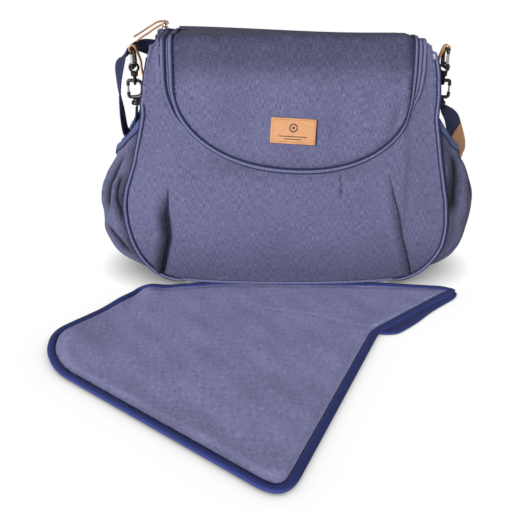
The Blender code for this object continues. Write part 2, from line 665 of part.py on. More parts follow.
def make_strap():
    """One band of webbing from collar to collar, with a leather patch and a ring adjuster on it."""
    route = smooth_path([(*place, *normal) for place, normal in STRAP_ROUTE], STRAP_STEPS)
    points = [Vector(row[:3]) for row in route]
    last = len(points) - 1
    across, facing, widths = [], [], []
    for i, row in enumerate(route):
        along = (points[min(i + 1, last)] - points[max(i - 1, 0)]).normalized()
        across.append(along.cross(Vector(row[3:])).normalized())
        facing.append(across[-1].cross(along).normalized())
        share = min(1.0, min(i, last - i) / 5)
        widths.append(STRAP_END_WIDTH + (STRAP_WIDTH - STRAP_END_WIDTH) * share)

    def band(i, v):
        return points[i] + across[i] * v * widths[i] / 2

    def patch(i, v):
        out = facing[i] * (STRAP_THICKNESS / 2 + GAP)
        return points[i] + across[i] * v * (STRAP_WIDTH / 2 - 0.002) + out

    steps = list(range(len(points)))
    surface("shoulder_strap", "navy_trim", steps, [-1, 1], band, STRAP_THICKNESS, 0.0)
    surface("strap_patch", "tan_leather", steps[-11:-6], [-1, 1], patch, 0.0012)
    middle = min(steps, key=lambda i: abs(points[i].x))
    ring = [
        points[middle] + across[middle] * a * (STRAP_WIDTH / 2 + 0.0028) + facing[middle] * b * 0.0030
        for a, b in ((-1, -1), (1, -1), (1, 1), (-1, 1))
    ]
    tube("strap_adjuster", "black_plastic", ring, 0.0013, 1, cyclic=True)
    return points[middle]


def bail_base():
    """The height where the slider's bail stands on its top."""
    return SLIDER[2] + SLIDER_SIZE[2] + GAP


def make_slider():
    """The slider rides on the body's coil, and its pull hangs over the bag's left edge."""
    x, y, z = SLIDER
    slider = block("zip_slider", "silver_metal", SLIDER_SIZE, (x, y, z + SLIDER_SIZE[2] / 2))
    edge = slider.modifiers.new("edge", "BEVEL")
    edge.width = 0.0009
    edge.segments = 2
    top = bail_base()
    arch = [
        (x, y + BAIL_HALF * cos(a), top + BAIL_WIRE + BAIL_RISE * sin(a)) for a in spread(0, pi, 9)
    ]
    tube("slider_bail", "silver_metal", arch, BAIL_WIRE, 1)
    under, over = top + 0.0016, top + 0.0063
    thong = smooth_path([
        (-0.1765, y - 0.004, 0.2790), (-0.1690, y - 0.002, 0.2850), (-0.1600, y, 0.2915),
        (-0.1500, y, over), (x, y, over), (x + 0.0035, y, (under + over) / 2), (x, y, under),
        (-0.1500, y, 0.2885), (-0.1600, y - 0.001, 0.2850), (-0.1690, y - 0.003, 0.2788),
        (-0.1750, y - 0.006, 0.2732),
    ], 28)
    surface("zip_pull", "brown_leather", list(range(len(thong))), [-1, 1],
            lambda i, v: (thong[i][0], thong[i][1] + v * PULL_WIDTH / 2, thong[i][2]),
            PULL_THICKNESS, 0.0)


def rounded(corners):
    """The outline through corners (place, radius), each corner an arc."""
    points, count = [], len(corners)
    for i, (place, radius) in enumerate(corners):
        here = Vector(place)
        before, after = Vector(corners[i - 1][0]), Vector(corners[(i + 1) % count][0])
        a, b = (before - here).normalized(), (after - here).normalized()
        reach = min(radius, 0.45 * (before - here).length, 0.45 * (after - here).length)
        for t in spread(0, 1, 5):
            points.append(here + a * reach * (1 - t) ** 2 + b * reach * t**2)
    return points


def inset(corners, by):
    """The corners of the outline moved inwards; they run anticlockwise."""
    moved, count = [], len(corners)
    for i, (place, radius) in enumerate(corners):
        here = Vector(place)
        a = (here - Vector(corners[i - 1][0])).normalized()
        b = (Vector(corners[(i + 1) % count][0]) - here).normalized()
        inward = Vector((-a.y - b.y, a.x + b.x)) / (1 + a.dot(b))
        convex = a.x * b.y - a.y * b.x > 0
        moved.append((here + inward * by, max(0.001, radius - by) if convex else radius + by))
    return moved


def flat_piece(name, kind, outlines, low, high):
    data = bpy.data.curves.new(name, "CURVE")
    data.dimensions = "2D"
    data.fill_mode = "BOTH"
    data.extrude = (high - low) / 2
    data.render_resolution_u = 0
    for outline in outlines:
        spline = data.splines.new("POLY")
        spline.points.add(len(outline) - 1)
        for target, point in zip(spline.points, outline):
            target.co = (point.x, point.y, 0, 1)
        spline.use_cyclic_u = True
    obj = add_object(name, data, kind)
    obj.location.z = (low + high) / 2


def make_mat():
    for name, outline, low, high in (
        ("mat_upper", MAT_OUTLINE, 0.0018, 0.0048), ("mat_under", UNDER_OUTLINE, 0.0002, 0.0012),
    ):
        edge = rounded(outline)
        inner, cloth = (rounded(inset(outline, by)) for by in (MAT_BINDING, MAT_BINDING + GAP))
        kind = "denim_fabric" if name == "mat_upper" else "lining_fabric"
        flat_piece(name + "_panel", kind, [cloth], low, high)
        flat_piece(name + "_binding", "navy_trim", [edge, inner],
                   low - 0.0002, high + 0.0003)


def pivot(name, place, nodes, carrier=None):
    """An empty on a joint's axis, which carries the pieces that turn or slide with it."""
    empty = bpy.data.objects.new(name, None)
    PARTS.objects.link(empty)
    empty.empty_display_size = 0.01
    empty.location = place
    if carrier:
        empty.parent = carrier
        empty.location = Vector(place) - carrier.location
    for node in nodes:
        obj = bpy.data.objects[node]
        obj.parent = empty
        obj.matrix_parent_inverse = Matrix.Translation(-Vector(place))
    return empty


def make_pivots(adjuster_place):
    pivot("lid_pivot", HINGE, [
        "lid_panel", "flap", "flap_lining", "flap_piping", "label_plate", "zip_tape_lid", "zip_coil_lid",
    ])
    slider = pivot("slider_pivot", SLIDER, ["zip_slider", "slider_bail"])
    pivot("pull_pivot", (SLIDER[0], SLIDER[1], bail_base() + BAIL_RISE), ["zip_pull"], slider)
    for side, name in SIDES:
        x = side * HOOK_OUT
        pivot("upper_gate_pivot_" + name, (x, -UPPER_HOOK_HALF, UPPER_GATE[0] + GAP),
              ["upper_gate_" + name])
        hook = pivot("lower_hook_pivot_" + name, (x, 0, LOWER_HOOK[0]), ["lower_hook_" + name])
        pivot("lower_gate_pivot_" + name, (x + side * LOWER_HOOK_HALF, 0, LOWER_GATE[0] + GAP),
              ["lower_gate_" + name], hook)
    pivot("adjuster_pivot", adjuster_place, ["strap_adjuster"])
    pivot("mat_pivot", (0, 0, 0), [
        "mat_upper_panel", "mat_upper_binding", "mat_under_panel", "mat_under_binding",
    ])


PARTS = None
CUTTERS = None


def main():
    global PARTS, CUTTERS
    clear_scene()
    PARTS = new_collection("diaper_bag")
    CUTTERS = new_collection("cutters")
    make_body()
    make_inside()
    make_pockets()
    make_lid()
    make_zip()
    for side, name in SIDES:
        make_loop(side, name)
        make_swivel(side, name)
        make_hooks(side, name)
    adjuster_place = make_strap()
    make_slider()
    make_mat()
    make_pivots(adjuster_place)


main()
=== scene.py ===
"""Looks of the diaper bag: its cloth, trim, leather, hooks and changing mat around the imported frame.

Metres, +Z up. The bag's front faces -Y, as in the frame.
"""

from math import cos, pi, radians, sin

import bmesh
import bpy
import numpy as np
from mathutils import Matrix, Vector


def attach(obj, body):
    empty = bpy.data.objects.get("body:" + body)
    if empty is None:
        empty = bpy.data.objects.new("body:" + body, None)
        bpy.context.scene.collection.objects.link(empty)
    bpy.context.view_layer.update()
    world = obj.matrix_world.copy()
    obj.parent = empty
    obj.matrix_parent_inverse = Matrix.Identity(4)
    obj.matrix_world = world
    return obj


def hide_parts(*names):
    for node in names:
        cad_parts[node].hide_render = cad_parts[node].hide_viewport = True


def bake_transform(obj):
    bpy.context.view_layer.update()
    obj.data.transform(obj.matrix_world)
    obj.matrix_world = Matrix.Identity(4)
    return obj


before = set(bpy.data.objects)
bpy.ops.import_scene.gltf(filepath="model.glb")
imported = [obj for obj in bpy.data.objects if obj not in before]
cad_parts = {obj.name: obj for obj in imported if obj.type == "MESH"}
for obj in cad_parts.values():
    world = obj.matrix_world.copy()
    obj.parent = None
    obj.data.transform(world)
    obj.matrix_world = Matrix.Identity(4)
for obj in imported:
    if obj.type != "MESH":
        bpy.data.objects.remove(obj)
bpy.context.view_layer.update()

SIDES = ((-1, "left"), (1, "right"))

# The frame's driving sizes
BASE_HALF, BELLY_HALF, TOP_HALF = 0.125, 0.186, 0.149
BELLY_Z, SEAM_Z, TOP_Z = 0.100, 0.009, 0.281
DEPTH_HALF, TOP_DEPTH_HALF = 0.060, 0.040
FRONT_BULGE, GUSSET_BULGE = 0.022, 0.006
MOUTH = (0.1366, 0.238, 0.162)  # half width, height of the turn, lowest height
LID_REAR_Y = 0.036
LIP = 0.0105
CLOTH = 0.0020

# The visible flap stands inside the frame's flap
FLAP = (0.1276, 0.232, 0.1512)
FLAP_TILT, FLAP_SHIFT, FLAP_OFFSET = 0.045, 0.0018, 0.0078
FLAP_BAND_RADIUS = 0.0021

HOOK_OUT = 0.1765
STRAP_WIDTH, STRAP_END_WIDTH, STRAP_THICKNESS = 0.025, 0.012, 0.0016


# Materials


class Graph:
    """Adds shader nodes to a new material and joins them."""

    def __init__(self, name):
        self.material = bpy.data.materials.new(name)
        self.material.use_nodes = True
        self.tree = self.material.node_tree
        self.shader = self.tree.nodes["Principled BSDF"]

    def put(self, node, key, value):
        if isinstance(value, bpy.types.NodeSocket):
            self.tree.links.new(value, node.inputs[key])
        else:
            node.inputs[key].default_value = value

    def add(self, kind, inputs=None, **settings):
        node = self.tree.nodes.new("ShaderNode" + kind)
        for key, value in settings.items():
            setattr(node, key, value)
        for key, value in (inputs or {}).items():
            self.put(node, key, value)
        return node

    def finish(self, inputs):
        for key, value in inputs.items():
            self.put(self.shader, key, value)
        return self.material

    def coordinates(self, source="UV", scale=(1, 1, 1), turn=0.0):
        where = self.add("TexCoord").outputs[source]
        mapping = self.add("Mapping", {"Vector": where, "Scale": scale, "Rotation": (0, 0, turn)})
        return mapping.outputs["Vector"]

    def noise(self, vector, scale, detail=2.0, roughness=0.5):
        node = self.add("TexNoise",
                        {"Vector": vector, "Scale": scale, "Detail": detail, "Roughness": roughness})
        return node.outputs["Fac"]

    def math(self, operation, a, b):
        return self.add("Math", {0: a, 1: b}, operation=operation).outputs[0]

    def ramp(self, value, stops):
        node = self.add("ValToRGB", {"Fac": value})
        elements = node.color_ramp.elements
        while len(elements) < len(stops):
            elements.new(0.5)
        for element, (place, colour) in zip(elements, stops):
            element.position = place
            element.color = (*colour, 1)
        return node.outputs["Color"]

    def between(self, value, low, high):
        return self.add("MapRange", {"Value": value, "To Min": low, "To Max": high}).outputs[0]

    def mixed(self, a, b, share):
        """The first value times its share, and the second times the other share."""
        return self.math("ADD", self.math("MULTIPLY", a, share), self.math("MULTIPLY", b, 1 - share))

    def shade(self, colour, value, low, high):
        """The colour made darker or lighter where a value runs from 0 to 1."""
        amount = self.between(value, low, high)
        grey = self.add("CombineColor", {"Red": amount, "Green": amount, "Blue": amount}).outputs[0]
        mixed = self.add("Mix", {"Factor": 1.0, 6: colour, 7: grey}, data_type="RGBA", blend_type="MULTIPLY")
        return mixed.outputs[2]

    def bump(self, height, distance, strength=1.0):
        node = self.add("Bump", {"Height": height, "Distance": distance, "Strength": strength})
        return node.outputs["Normal"]


def heather_cloth(name, dark, mid, light, thread=0.00055, slub=0.0065, source="UV", turn=0.0, clouds=0.06):
    """A plain weave of mixed yarns: short slubs run along both threads, over broad soft clouds."""
    g = Graph(name)
    warp = g.noise(g.coordinates(source, (1 / thread, 1 / slub, 1 / slub), turn), 1.0, 3.0, 0.6)
    weft = g.noise(g.coordinates(source, (1 / slub, 1 / thread, 1 / thread), turn), 1.0, 3.0, 0.6)
    yarn = g.mixed(warp, weft, 0.6)
    colour = g.ramp(yarn, [(0.37, dark), (0.50, mid), (0.63, light)])
    cloud = g.noise(g.coordinates(source), 16.0, 3.0, 0.6)
    colour = g.shade(colour, cloud, 1 - 2 * clouds, 1 + 2 * clouds)
    # The 'shade' attribute is painted shade: it darkens the colour in folds, pleats, the flap's top roll, the lower
    # front and other places where shade falls.
    painted_shade = g.add("Attribute", attribute_name="shade").outputs["Fac"]
    colour = g.shade(colour, painted_shade, 1.0, 0.0)
    grain = g.noise(g.coordinates(source, (1, 1, 1), turn), 1800.0, 1.0)
    height = g.math("ADD", yarn, g.math("MULTIPLY", grain, 0.35))
    return g.finish({
        "Base Color": colour, "Roughness": 0.92, "Normal": g.bump(height, 0.0005, 0.45),
        "Sheen Weight": 0.03, "Sheen Roughness": 0.5, "Specular IOR Level": 0.15,
    })


def twill_tape(name, dark, light, pitch=0.0013, roughness=0.7, sheen=0.06, source="UV"):
    """A close diagonal weave, slightly glossy along its ridges."""
    g = Graph(name)
    where = g.coordinates(source, (1 / pitch, 1 / pitch, 1 / pitch), radians(40))
    wave = g.add("TexWave", {"Vector": where, "Scale": 0.32, "Distortion": 0.6, "Detail": 1.0}).outputs["Fac"]
    fuzz = g.noise(g.coordinates(source), 900.0, 2.0)
    value = g.mixed(wave, fuzz, 0.6)
    colour = g.ramp(value, [(0.15, dark), (0.85, light)])
    clouds = g.noise(g.coordinates(source), 22.0, 2.0)
    return g.finish({
        "Base Color": g.shade(colour, clouds, 0.85, 1.12), "Roughness": roughness,
        "Normal": g.bump(value, 0.0004, 0.6), "Sheen Weight": sheen, "Specular IOR Level": 0.3,
    })


def leather(name, dark, light, grain=700.0, roughness=0.5, source="UV"):
    g = Graph(name)
    where = g.coordinates(source)
    cells = g.add("TexVoronoi", {"Vector": where, "Scale": grain}).outputs["Distance"]
    mottle = g.noise(where, 60.0, 4.0, 0.65)
    pores = g.noise(where, grain * 2, 2.0)
    rough = g.between(mottle, roughness - 0.1, roughness + 0.12)
    return g.finish({
        "Base Color": g.ramp(mottle, [(0.32, dark), (0.68, light)]), "Roughness": rough,
        "Normal": g.bump(g.mixed(cells, pores, 0.7), 0.00025, 0.5), "Specular IOR Level": 0.4,
    })


def plastic(name, colour, roughness=0.36):
    g = Graph(name)
    where = g.coordinates("Object")
    grain = g.noise(where, 2600.0, 2.0)
    wear = g.noise(where, 90.0, 3.0)
    rough = g.between(wear, roughness - 0.07, roughness + 0.12)
    return g.finish({
        "Base Color": g.shade(colour_socket(g, colour), wear, 0.8, 1.3), "Roughness": rough,
        "Normal": g.bump(grain, 0.00008, 0.4),
    })


def metal(name, colour, roughness=0.24):
    g = Graph(name)
    where = g.coordinates("Object")
    brushed = g.noise(g.coordinates("Object", (300, 300, 2600)), 1.0, 2.0)
    wear = g.noise(where, 160.0, 3.0)
    rough = g.between(wear, roughness - 0.06, roughness + 0.14)
    return g.finish({
        "Base Color": g.shade(colour_socket(g, colour), wear, 0.85, 1.08), "Metallic": 1.0,
        "Roughness": rough, "Normal": g.bump(brushed, 0.00004, 0.5),
    })


def colour_socket(g, colour):
    return g.ramp(0.5, [(0.0, colour), (1.0, colour)])


def floor_material():
    g = Graph("studio_floor")
    # Camera rays see the floor glow white, dimmed by ambient occlusion near the bag and mat: a painted contact shadow.
    # Other rays see a plain near-white floor.
    seen = g.add("LightPath").outputs["Is Camera Ray"]
    near = g.add("AmbientOcclusion", {"Distance": 0.035}, samples=16).outputs["AO"]
    glow = g.math("MULTIPLY", seen, g.math("POWER", near, 0.8))
    bounce = g.between(seen, 0.9, 0.0)
    return g.finish({
        "Base Color": bounce, "Roughness": 1.0, "Specular IOR Level": 0.0,
        "Emission Color": (1, 1, 1, 1), "Emission Strength": glow,
    })


DENIM = ((0.052, 0.053, 0.125), (0.112, 0.113, 0.205), (0.190, 0.192, 0.300))
LOOKS = {
    "denim": heather_cloth("denim", *DENIM),
    # The mat's cloth colours are set well above the bag's denim as painted light, standing in for light from above on
    # the flat-lying mat.
    "mat": heather_cloth("mat", (0.165, 0.166, 0.365), (0.315, 0.317, 0.560), (0.480, 0.482, 0.740)),
    "piping": heather_cloth("piping", (0.080, 0.083, 0.170), (0.135, 0.138, 0.250), (0.200, 0.203, 0.330), slub=0.003),
    "rib": twill_tape("rib", (0.045, 0.060, 0.150), (0.095, 0.120, 0.270), 0.0011, 0.8, 0.1),
    "navy": twill_tape("navy", (0.020, 0.030, 0.150), (0.042, 0.060, 0.260), sheen=0.06),
    "seam_shadow": twill_tape("seam_shadow", (0.008, 0.011, 0.050), (0.018, 0.024, 0.090)),
    "webbing": twill_tape("webbing", (0.009, 0.012, 0.044), (0.022, 0.030, 0.105), 0.0019, 0.75, 0.04),
    "satin": twill_tape("satin", (0.016, 0.028, 0.120), (0.034, 0.055, 0.220), 0.0007, 0.36, 0.15),
    "thread": twill_tape("thread", (0.030, 0.040, 0.150), (0.060, 0.075, 0.240), 0.0004, 0.6, 0.1),
    "tan": leather("tan", (0.500, 0.225, 0.092), (0.620, 0.325, 0.155), 900.0, 0.50),
    "tan_edge": leather("tan_edge", (0.300, 0.110, 0.045), (0.460, 0.190, 0.080), 900.0, 0.6),
    "brown": leather("brown", (0.250, 0.095, 0.035), (0.480, 0.220, 0.090), 500.0, 0.48),
    "print": leather("print", (0.020, 0.012, 0.010), (0.045, 0.026, 0.020), 900.0, 0.6),
    "black": plastic("black", (0.012, 0.012, 0.014)),
    "silver": metal("silver", (0.66, 0.66, 0.65)),
    "board": plastic("board", (0.10, 0.10, 0.11), 0.7),
}


# Meshes


def placed(name, data):
    """A new object in the scene."""
    obj = bpy.data.objects.new(name, data)
    bpy.context.scene.collection.objects.link(obj)
    return obj


def mesh_object(name, vertices, faces, uvs, look, body, nodes=(), smooth_angle=50):
    """A piece from vertices and faces, with one pair of cloth coordinates in metres for each vertex."""
    if body in ("bag", "lid") and not name.startswith(HARDWARE):
        vertices = slumped(np.asarray(vertices, float))
    mesh = bpy.data.meshes.new(name)
    mesh.from_pydata([tuple(v) for v in vertices], [], faces)
    layer = mesh.uv_layers.new(name="cloth")
    corners = np.zeros(len(mesh.loops), np.int32)
    mesh.loops.foreach_get("vertex_index", corners)
    layer.data.foreach_set("uv", np.asarray(uvs, np.float32)[corners].ravel())
    mesh.materials.append(LOOKS[look])
    bm = bmesh.new()
    bm.from_mesh(mesh)
    bmesh.ops.recalc_face_normals(bm, faces=bm.faces)
    bm.to_mesh(mesh)
    bm.free()
    mesh.shade_smooth()
    mesh.set_sharp_from_angle(angle=radians(smooth_angle))
    obj = placed(name, mesh)
    if body:
        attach(obj, body)
    if nodes:
        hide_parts(*nodes)
    return obj


def unit(vectors):
    return vectors / np.linalg.norm(vectors, axis=-1, keepdims=True)


def distances(line):
    """How far along a line each of its points is."""
    return np.concatenate([[0], np.cumsum(np.linalg.norm(np.diff(line, axis=0), axis=1))])


def evened(line, count):
    """A line of points with even steps along it; columns after the third are carried."""
    run = distances(line[:, :3])
    at = np.linspace(0, run[-1], count)
    return np.stack([np.interp(at, run, line[:, k]) for k in range(line.shape[1])], 1)


def steps_round(path):
    """The direction of a closed path at each point."""
    return np.roll(path, -1, axis=0) - np.roll(path, 1, axis=0)


def pair(a, b):
    return np.stack(np.broadcast_arrays(a, b), -1)


def triple(x, y, z):
    return np.stack(np.broadcast_arrays(x, y, z), -1)


def raised(points, amount):
    """A grid of points moved along its normals."""
    return points + normals_of(points) * amount[..., None]


def hump(value, centre, width):
    """One at the centre, falling away smoothly on both sides."""
    return np.exp(-(((value - centre) / width) ** 2))


def normals_of(points):
    """Unit vectors across a grid of points, along d/du x d/dv."""
    across = np.cross(np.gradient(points, axis=0), np.gradient(points, axis=1))
    return across / np.maximum(np.linalg.norm(across, axis=-1, keepdims=True), 1e-12)


def sheet(name, points, uv, thickness, nodes=(), look="denim", body="bag", slot="denim_fabric", shade=None):
    """A closed cloth sheet: a grid of outer points, the same grid further in, and a rounded rim."""
    n, m = points.shape[:2]
    inner = points - normals_of(points) * thickness
    index = np.arange(n * m).reshape(n, m)
    loop = np.concatenate([index[:-1, 0], index[-1, :-1], index[:0:-1, -1], index[0, :0:-1]])
    outer_flat, inner_flat = points.reshape(-1, 3), inner.reshape(-1, 3)
    middle = (outer_flat[loop] + inner_flat[loop]) / 2
    along = np.roll(middle, -1, axis=0) - np.roll(middle, 1, axis=0)
    out = np.cross(along, outer_flat[loop] - inner_flat[loop])
    out /= np.maximum(np.linalg.norm(out, axis=1, keepdims=True), 1e-12)
    rim = middle + out * thickness * 0.35
    size, edge = n * m, len(loop)
    a, b = index[:-1, :-1].ravel(), index[1:, :-1].ravel()
    c, d = index[1:, 1:].ravel(), index[:-1, 1:].ravel()
    faces = np.stack([a, b, c, d], 1).tolist()
    faces += np.stack([d + size, c + size, b + size, a + size], 1).tolist()
    for i in range(edge):
        j = (i + 1) % edge
        p, q, r, s = loop[i], loop[j], 2 * size + i, 2 * size + j
        faces += [[int(q), int(p), r, s], [s, r, int(p) + size, int(q) + size]]
    flat_uv = uv.reshape(-1, 2)
    vertices = np.concatenate([outer_flat, inner_flat, rim])
    uvs = np.concatenate([flat_uv, flat_uv, flat_uv[loop]])
    obj = mesh_object(name, vertices, faces, uvs, look, body, nodes)
    # Shade values are painted shade, stored as the 'shade' attribute that darkens the cloth's colour.
    if shade is not None:
        values = np.clip(np.broadcast_to(shade, (n, m)), 0, 1).ravel()
        layer = obj.data.attributes.new("shade", "FLOAT", "POINT")
        layer.data.foreach_set("value", np.concatenate([values, values, values[loop]]).astype(np.float32))
    return obj


def loft(name, rings, look, body, nodes=(), closed=False, smooth_angle=50):
    """A closed body through rings of points, with flat ends unless it closes on itself."""
    rings = np.asarray(rings, float)
    n, k = rings.shape[:2]
    run = distances(rings.mean(1))
    girth = np.linalg.norm(rings[0] - np.roll(rings[0], 1, axis=0), axis=1)
    around = np.cumsum(girth) - girth[0]
    faces = []
    for i in range(n if closed else n - 1):
        i2 = (i + 1) % n
        for j in range(k):
            j2 = (j + 1) % k
            faces.append([i * k + j, i * k + j2, i2 * k + j2, i2 * k + j])
    if not closed:
        faces += [list(range(k))[::-1], [(n - 1) * k + j for j in range(k)]]
    uvs = pair(np.tile(around, n), np.repeat(run, k))
    return mesh_object(name, rings.reshape(-1, 3), faces, uvs, look, body, nodes, smooth_angle)


def carried_frames(path, first_up):
    """Two unit vectors across a path at each point, carried along it without twist."""
    along = unit(np.gradient(np.asarray(path, float), axis=0))
    up = np.asarray(first_up, float)
    ups = []
    for direction in along:
        up = unit(up - direction * np.dot(up, direction))
        ups.append(up)
    ups = np.array(ups)
    return np.cross(along, ups), ups


def tube_rings(path, radius, sides=12, up=(0, 1, 0), flat=1.0):
    side, ups = carried_frames(path, up)
    radius = np.broadcast_to(np.asarray(radius, float), (len(path),))[:, None, None]
    angles = np.linspace(0, 2 * pi, sides, endpoint=False)[None, :, None]
    return np.asarray(path)[:, None] + radius * (
        np.cos(angles) * side[:, None] + flat * np.sin(angles) * ups[:, None])


def tube(name, path, radius, look, body, nodes=(), sides=8, up=(1, 0, 0), flat=1.0):
    return loft(name, tube_rings(path, radius, sides, up, flat), look, body, nodes)


# The turns of a rounded rectangle: (x side, y side, first angle)
TURNS = ((1, 1, 0), (-1, 1, 90), (-1, -1, 180), (1, -1, 270))


def strip_rings(path, across, facing, widths, thickness, corner=0.35):
    """Rings of a flat band with rounded edges."""
    half = np.broadcast_to(np.asarray(widths, float), (len(path),))[:, None, None] / 2
    edge = thickness * corner
    shape = []
    for x, y, first in TURNS:
        for angle in (first, first + 45, first + 90):
            shape.append((x, edge * (cos(radians(angle)) - x), y * (thickness / 2 - edge)
                          + edge * sin(radians(angle))))
    return np.stack([path + across * (half[:, 0] * x + extra) + facing * y for x, extra, y in shape], axis=1)


def resample(points, count):
    """Evenly spaced points on a Catmull-Rom curve through the points."""
    p = np.array(points, float)
    ends = np.vstack([2 * p[0] - p[1], p, 2 * p[-1] - p[-2]])
    fine = []
    for a, b, c, d in zip(ends, ends[1:], ends[2:], ends[3:]):
        for t in np.linspace(0, 1, 16, endpoint=False):
            fine.append(0.5 * (2 * b + (c - a) * t + (2 * a - 5 * b + 4 * c - d) * t**2
                               + (3 * b - a - 3 * c + d) * t**3))
    return evened(np.array(fine + [p[-1]]), count)


def waves(points, length, seed):
    """Smooth irregular waves of about one length, from -1 to 1 or so."""
    rng = np.random.default_rng(seed)
    total = np.zeros(points.shape[:-1])
    for _ in range(7):
        direction = rng.normal(size=3)
        direction *= 2 * pi / length * rng.uniform(0.6, 1.4) / np.linalg.norm(direction)
        total += np.sin(points @ direction + rng.uniform(0, 2 * pi))
    return total / 3.5


def ease(t):
    t = np.clip(t, 0, 1)
    return t * t * (3 - 2 * t)


# The envelope of the bag body, as the frame has it


def half_width(z):
    z = np.asarray(z, float)
    low = np.clip((BELLY_Z - z) / (BELLY_Z - SEAM_Z), 0, 1)
    below = BASE_HALF + (BELLY_HALF - BASE_HALF) * (1 - low**2.2) ** (1 / 2.2)
    t, soft = np.maximum(z - BELLY_Z, 0) / (TOP_Z - BELLY_Z), 0.12
    fall = ((t * t + soft * soft) ** 0.5 - soft) / ((1 + soft * soft) ** 0.5 - soft)
    return np.where(z < BELLY_Z, below, BELLY_HALF - (BELLY_HALF - TOP_HALF) * fall)


def half_depth(z):
    up = np.maximum(0.0, (np.asarray(z, float) - 0.08) / 0.2)
    return DEPTH_HALF - (DEPTH_HALF - TOP_DEPTH_HALF) * up**1.6


def bulge(z):
    return 0.005 + FRONT_BULGE * hump(z, BELLY_Z, 0.085)


def front_y(x, z):
    side = np.minimum(1.0, np.abs(x) / half_width(z))
    return -(half_depth(z) + bulge(z) * (1 - side**2.5))


def back_y(x, z):
    side = np.minimum(1.0, np.abs(x) / half_width(z))
    return half_depth(z) + 0.3 * bulge(z) * (1 - side**2.5)


def gusset_bulge(z):
    t = np.clip((z - 0.13) / 0.06, 0, 1)
    return GUSSET_BULGE * (1 - 2 * t * t * (3 - 2 * t))


def lid_profile():
    """The (y, z) points at the middle, from the lower seam up the front and over the top to the rear."""
    rising = [(float(front_y(0, z)), z) for z in np.linspace(SEAM_Z, 0.267, 130)]
    (y1, z1), (y0, z0) = rising[-1], rising[-2]
    corner = y1 + (y1 - y0) / (z1 - z0) * (TOP_Z - z1)
    turn = [
        ((1 - t) ** 2 * y1 + 2 * t * (1 - t) * corner + t * t * (corner + 0.014),
         (1 - t) ** 2 * z1 + (1 - (1 - t) ** 2) * TOP_Z)
        for t in np.linspace(0.05, 1, 16)
    ]
    top = [(y, TOP_Z) for y in np.linspace(corner + 0.016, LID_REAR_Y, 14)]
    return np.array(rising + turn + top)


PROFILE = lid_profile()
PROFILE_RUN = distances(PROFILE)
PROFILE_END = float(PROFILE_RUN[-1])


def run_at(z):
    """How far along the profile the front reaches a height."""
    front = PROFILE[:, 1] < TOP_Z - 1e-6
    return np.interp(z, PROFILE[front, 1], PROFILE_RUN[front])


BEND_RUN = float(run_at(0.262))
FRONT_END_RUN = BEND_RUN + (PROFILE_END - BEND_RUN) * 0.16


def over(x, run, out=0.0):
    """Points on the front or the top at x and a distance along the profile, raised by out."""
    x, run, out = np.broadcast_arrays(x, run, out)
    run = np.clip(run, 0.0, PROFILE_END)
    y, z = (np.interp(run, PROFILE_RUN, PROFILE[:, k]) for k in range(2))
    ahead, behind = np.minimum(run + 0.002, PROFILE_END), np.maximum(run - 0.002, 0.0)
    dy, dz = (
        np.interp(ahead, PROFILE_RUN, PROFILE[:, k]) - np.interp(behind, PROFILE_RUN, PROFILE[:, k])
        for k in range(2)
    )
    size = np.hypot(dy, dz)
    front = np.clip(dz / size, 0, 1)
    side = np.minimum(1.0, np.abs(x) / half_width(np.minimum(z, TOP_Z)))
    return triple(x, y - dz / size * out + front * bulge(z) * side**2.5, z + dy / size * out)


def lower_edge(share, turn_z, low_z, tilt=0.0):
    share = np.asarray(share, float)
    return turn_z - (turn_z - low_z) * (1 - np.minimum(1.0, np.abs(share)) ** 2.2) ** (1 / 2.2) - tilt * share


def edge_line(half, turn_z, low_z, grow=0.0, tilt=0.0, shift=0.0, end=PROFILE_END, count=120, rise=60):
    """(x, run) along a lid piece's left side, lower edge and right side, moved outwards by grow."""
    share = np.sin(np.linspace(-pi / 2, pi / 2, count))
    low_run = run_at(lower_edge(share, turn_z, low_z, tilt * half)) - grow * (1 - np.abs(share) ** 2.2)
    low = pair(shift + share * (half + grow), low_run)
    left = pair(low[0, 0], np.linspace(end, low[0, 1], rise, endpoint=False))
    right = pair(low[-1, 0], np.linspace(low[-1, 1], end, rise + 1)[1:])
    return np.concatenate([left, low, right])


HARDWARE = ("upper_hook", "hook_swivel", "leather_loop", "loop_rivet", "shoulder_strap", "strap_")
SINK = 0.0075
# How far the front seam is drawn in on each side, as (height, distance)
DRAWN_IN = {
    -1: [(0.100, 0), (0.120, 0.0015), (0.150, 0.0065), (0.190, 0.0080), (0.205, 0.0080), (0.222, 0.0035),
         (0.242, 0)],
    1: [(0.050, 0), (0.075, 0.0040), (0.095, 0.0075), (0.120, 0.0105), (0.150, 0.0115), (0.200, 0.0105),
        (0.225, 0.0040), (0.250, 0)],
}


def slumped(points):
    """The soft top sinks towards the rear and the right, and the sides are drawn in at the front seam."""
    x, y, z = points[:, 0], points[:, 1], points[:, 2]
    sag = SINK * ease((x + 0.145) / 0.24) * ease((y + 0.05) / 0.075)
    moved = points.copy()
    moved[:, 2] -= sag * ease((z - 0.205) / 0.06)
    for side, table in DRAWN_IN.items():
        heights, amounts = np.array(table).T
        near = ease((side * x - 0.122) / 0.026) * ease((-y - 0.012) / 0.052)
        moved[:, 0] -= side * np.interp(z, heights, amounts) * near
    return moved


# Folds and pleats

# Each is a line of (x, z) points from its soft upper end to the seam, with the width of its soft side, its depth
# and the side on which the cloth laps over it.
FRONT_PLEATS = [
    ([(-0.1390, 0.136), (-0.1405, 0.104), (-0.1395, 0.070), (-0.1480, 0.034), (-0.151, 0.022)], 0.0105,
     0.0105, 1),
    ([(0.1060, 0.152), (0.1145, 0.116), (0.1290, 0.066), (0.1410, 0.026), (0.143, 0.016)], 0.0075, 0.0060, 1),
    ([(0.0535, 0.150), (0.0552, 0.124)], 0.0045, 0.0020, 1),
]


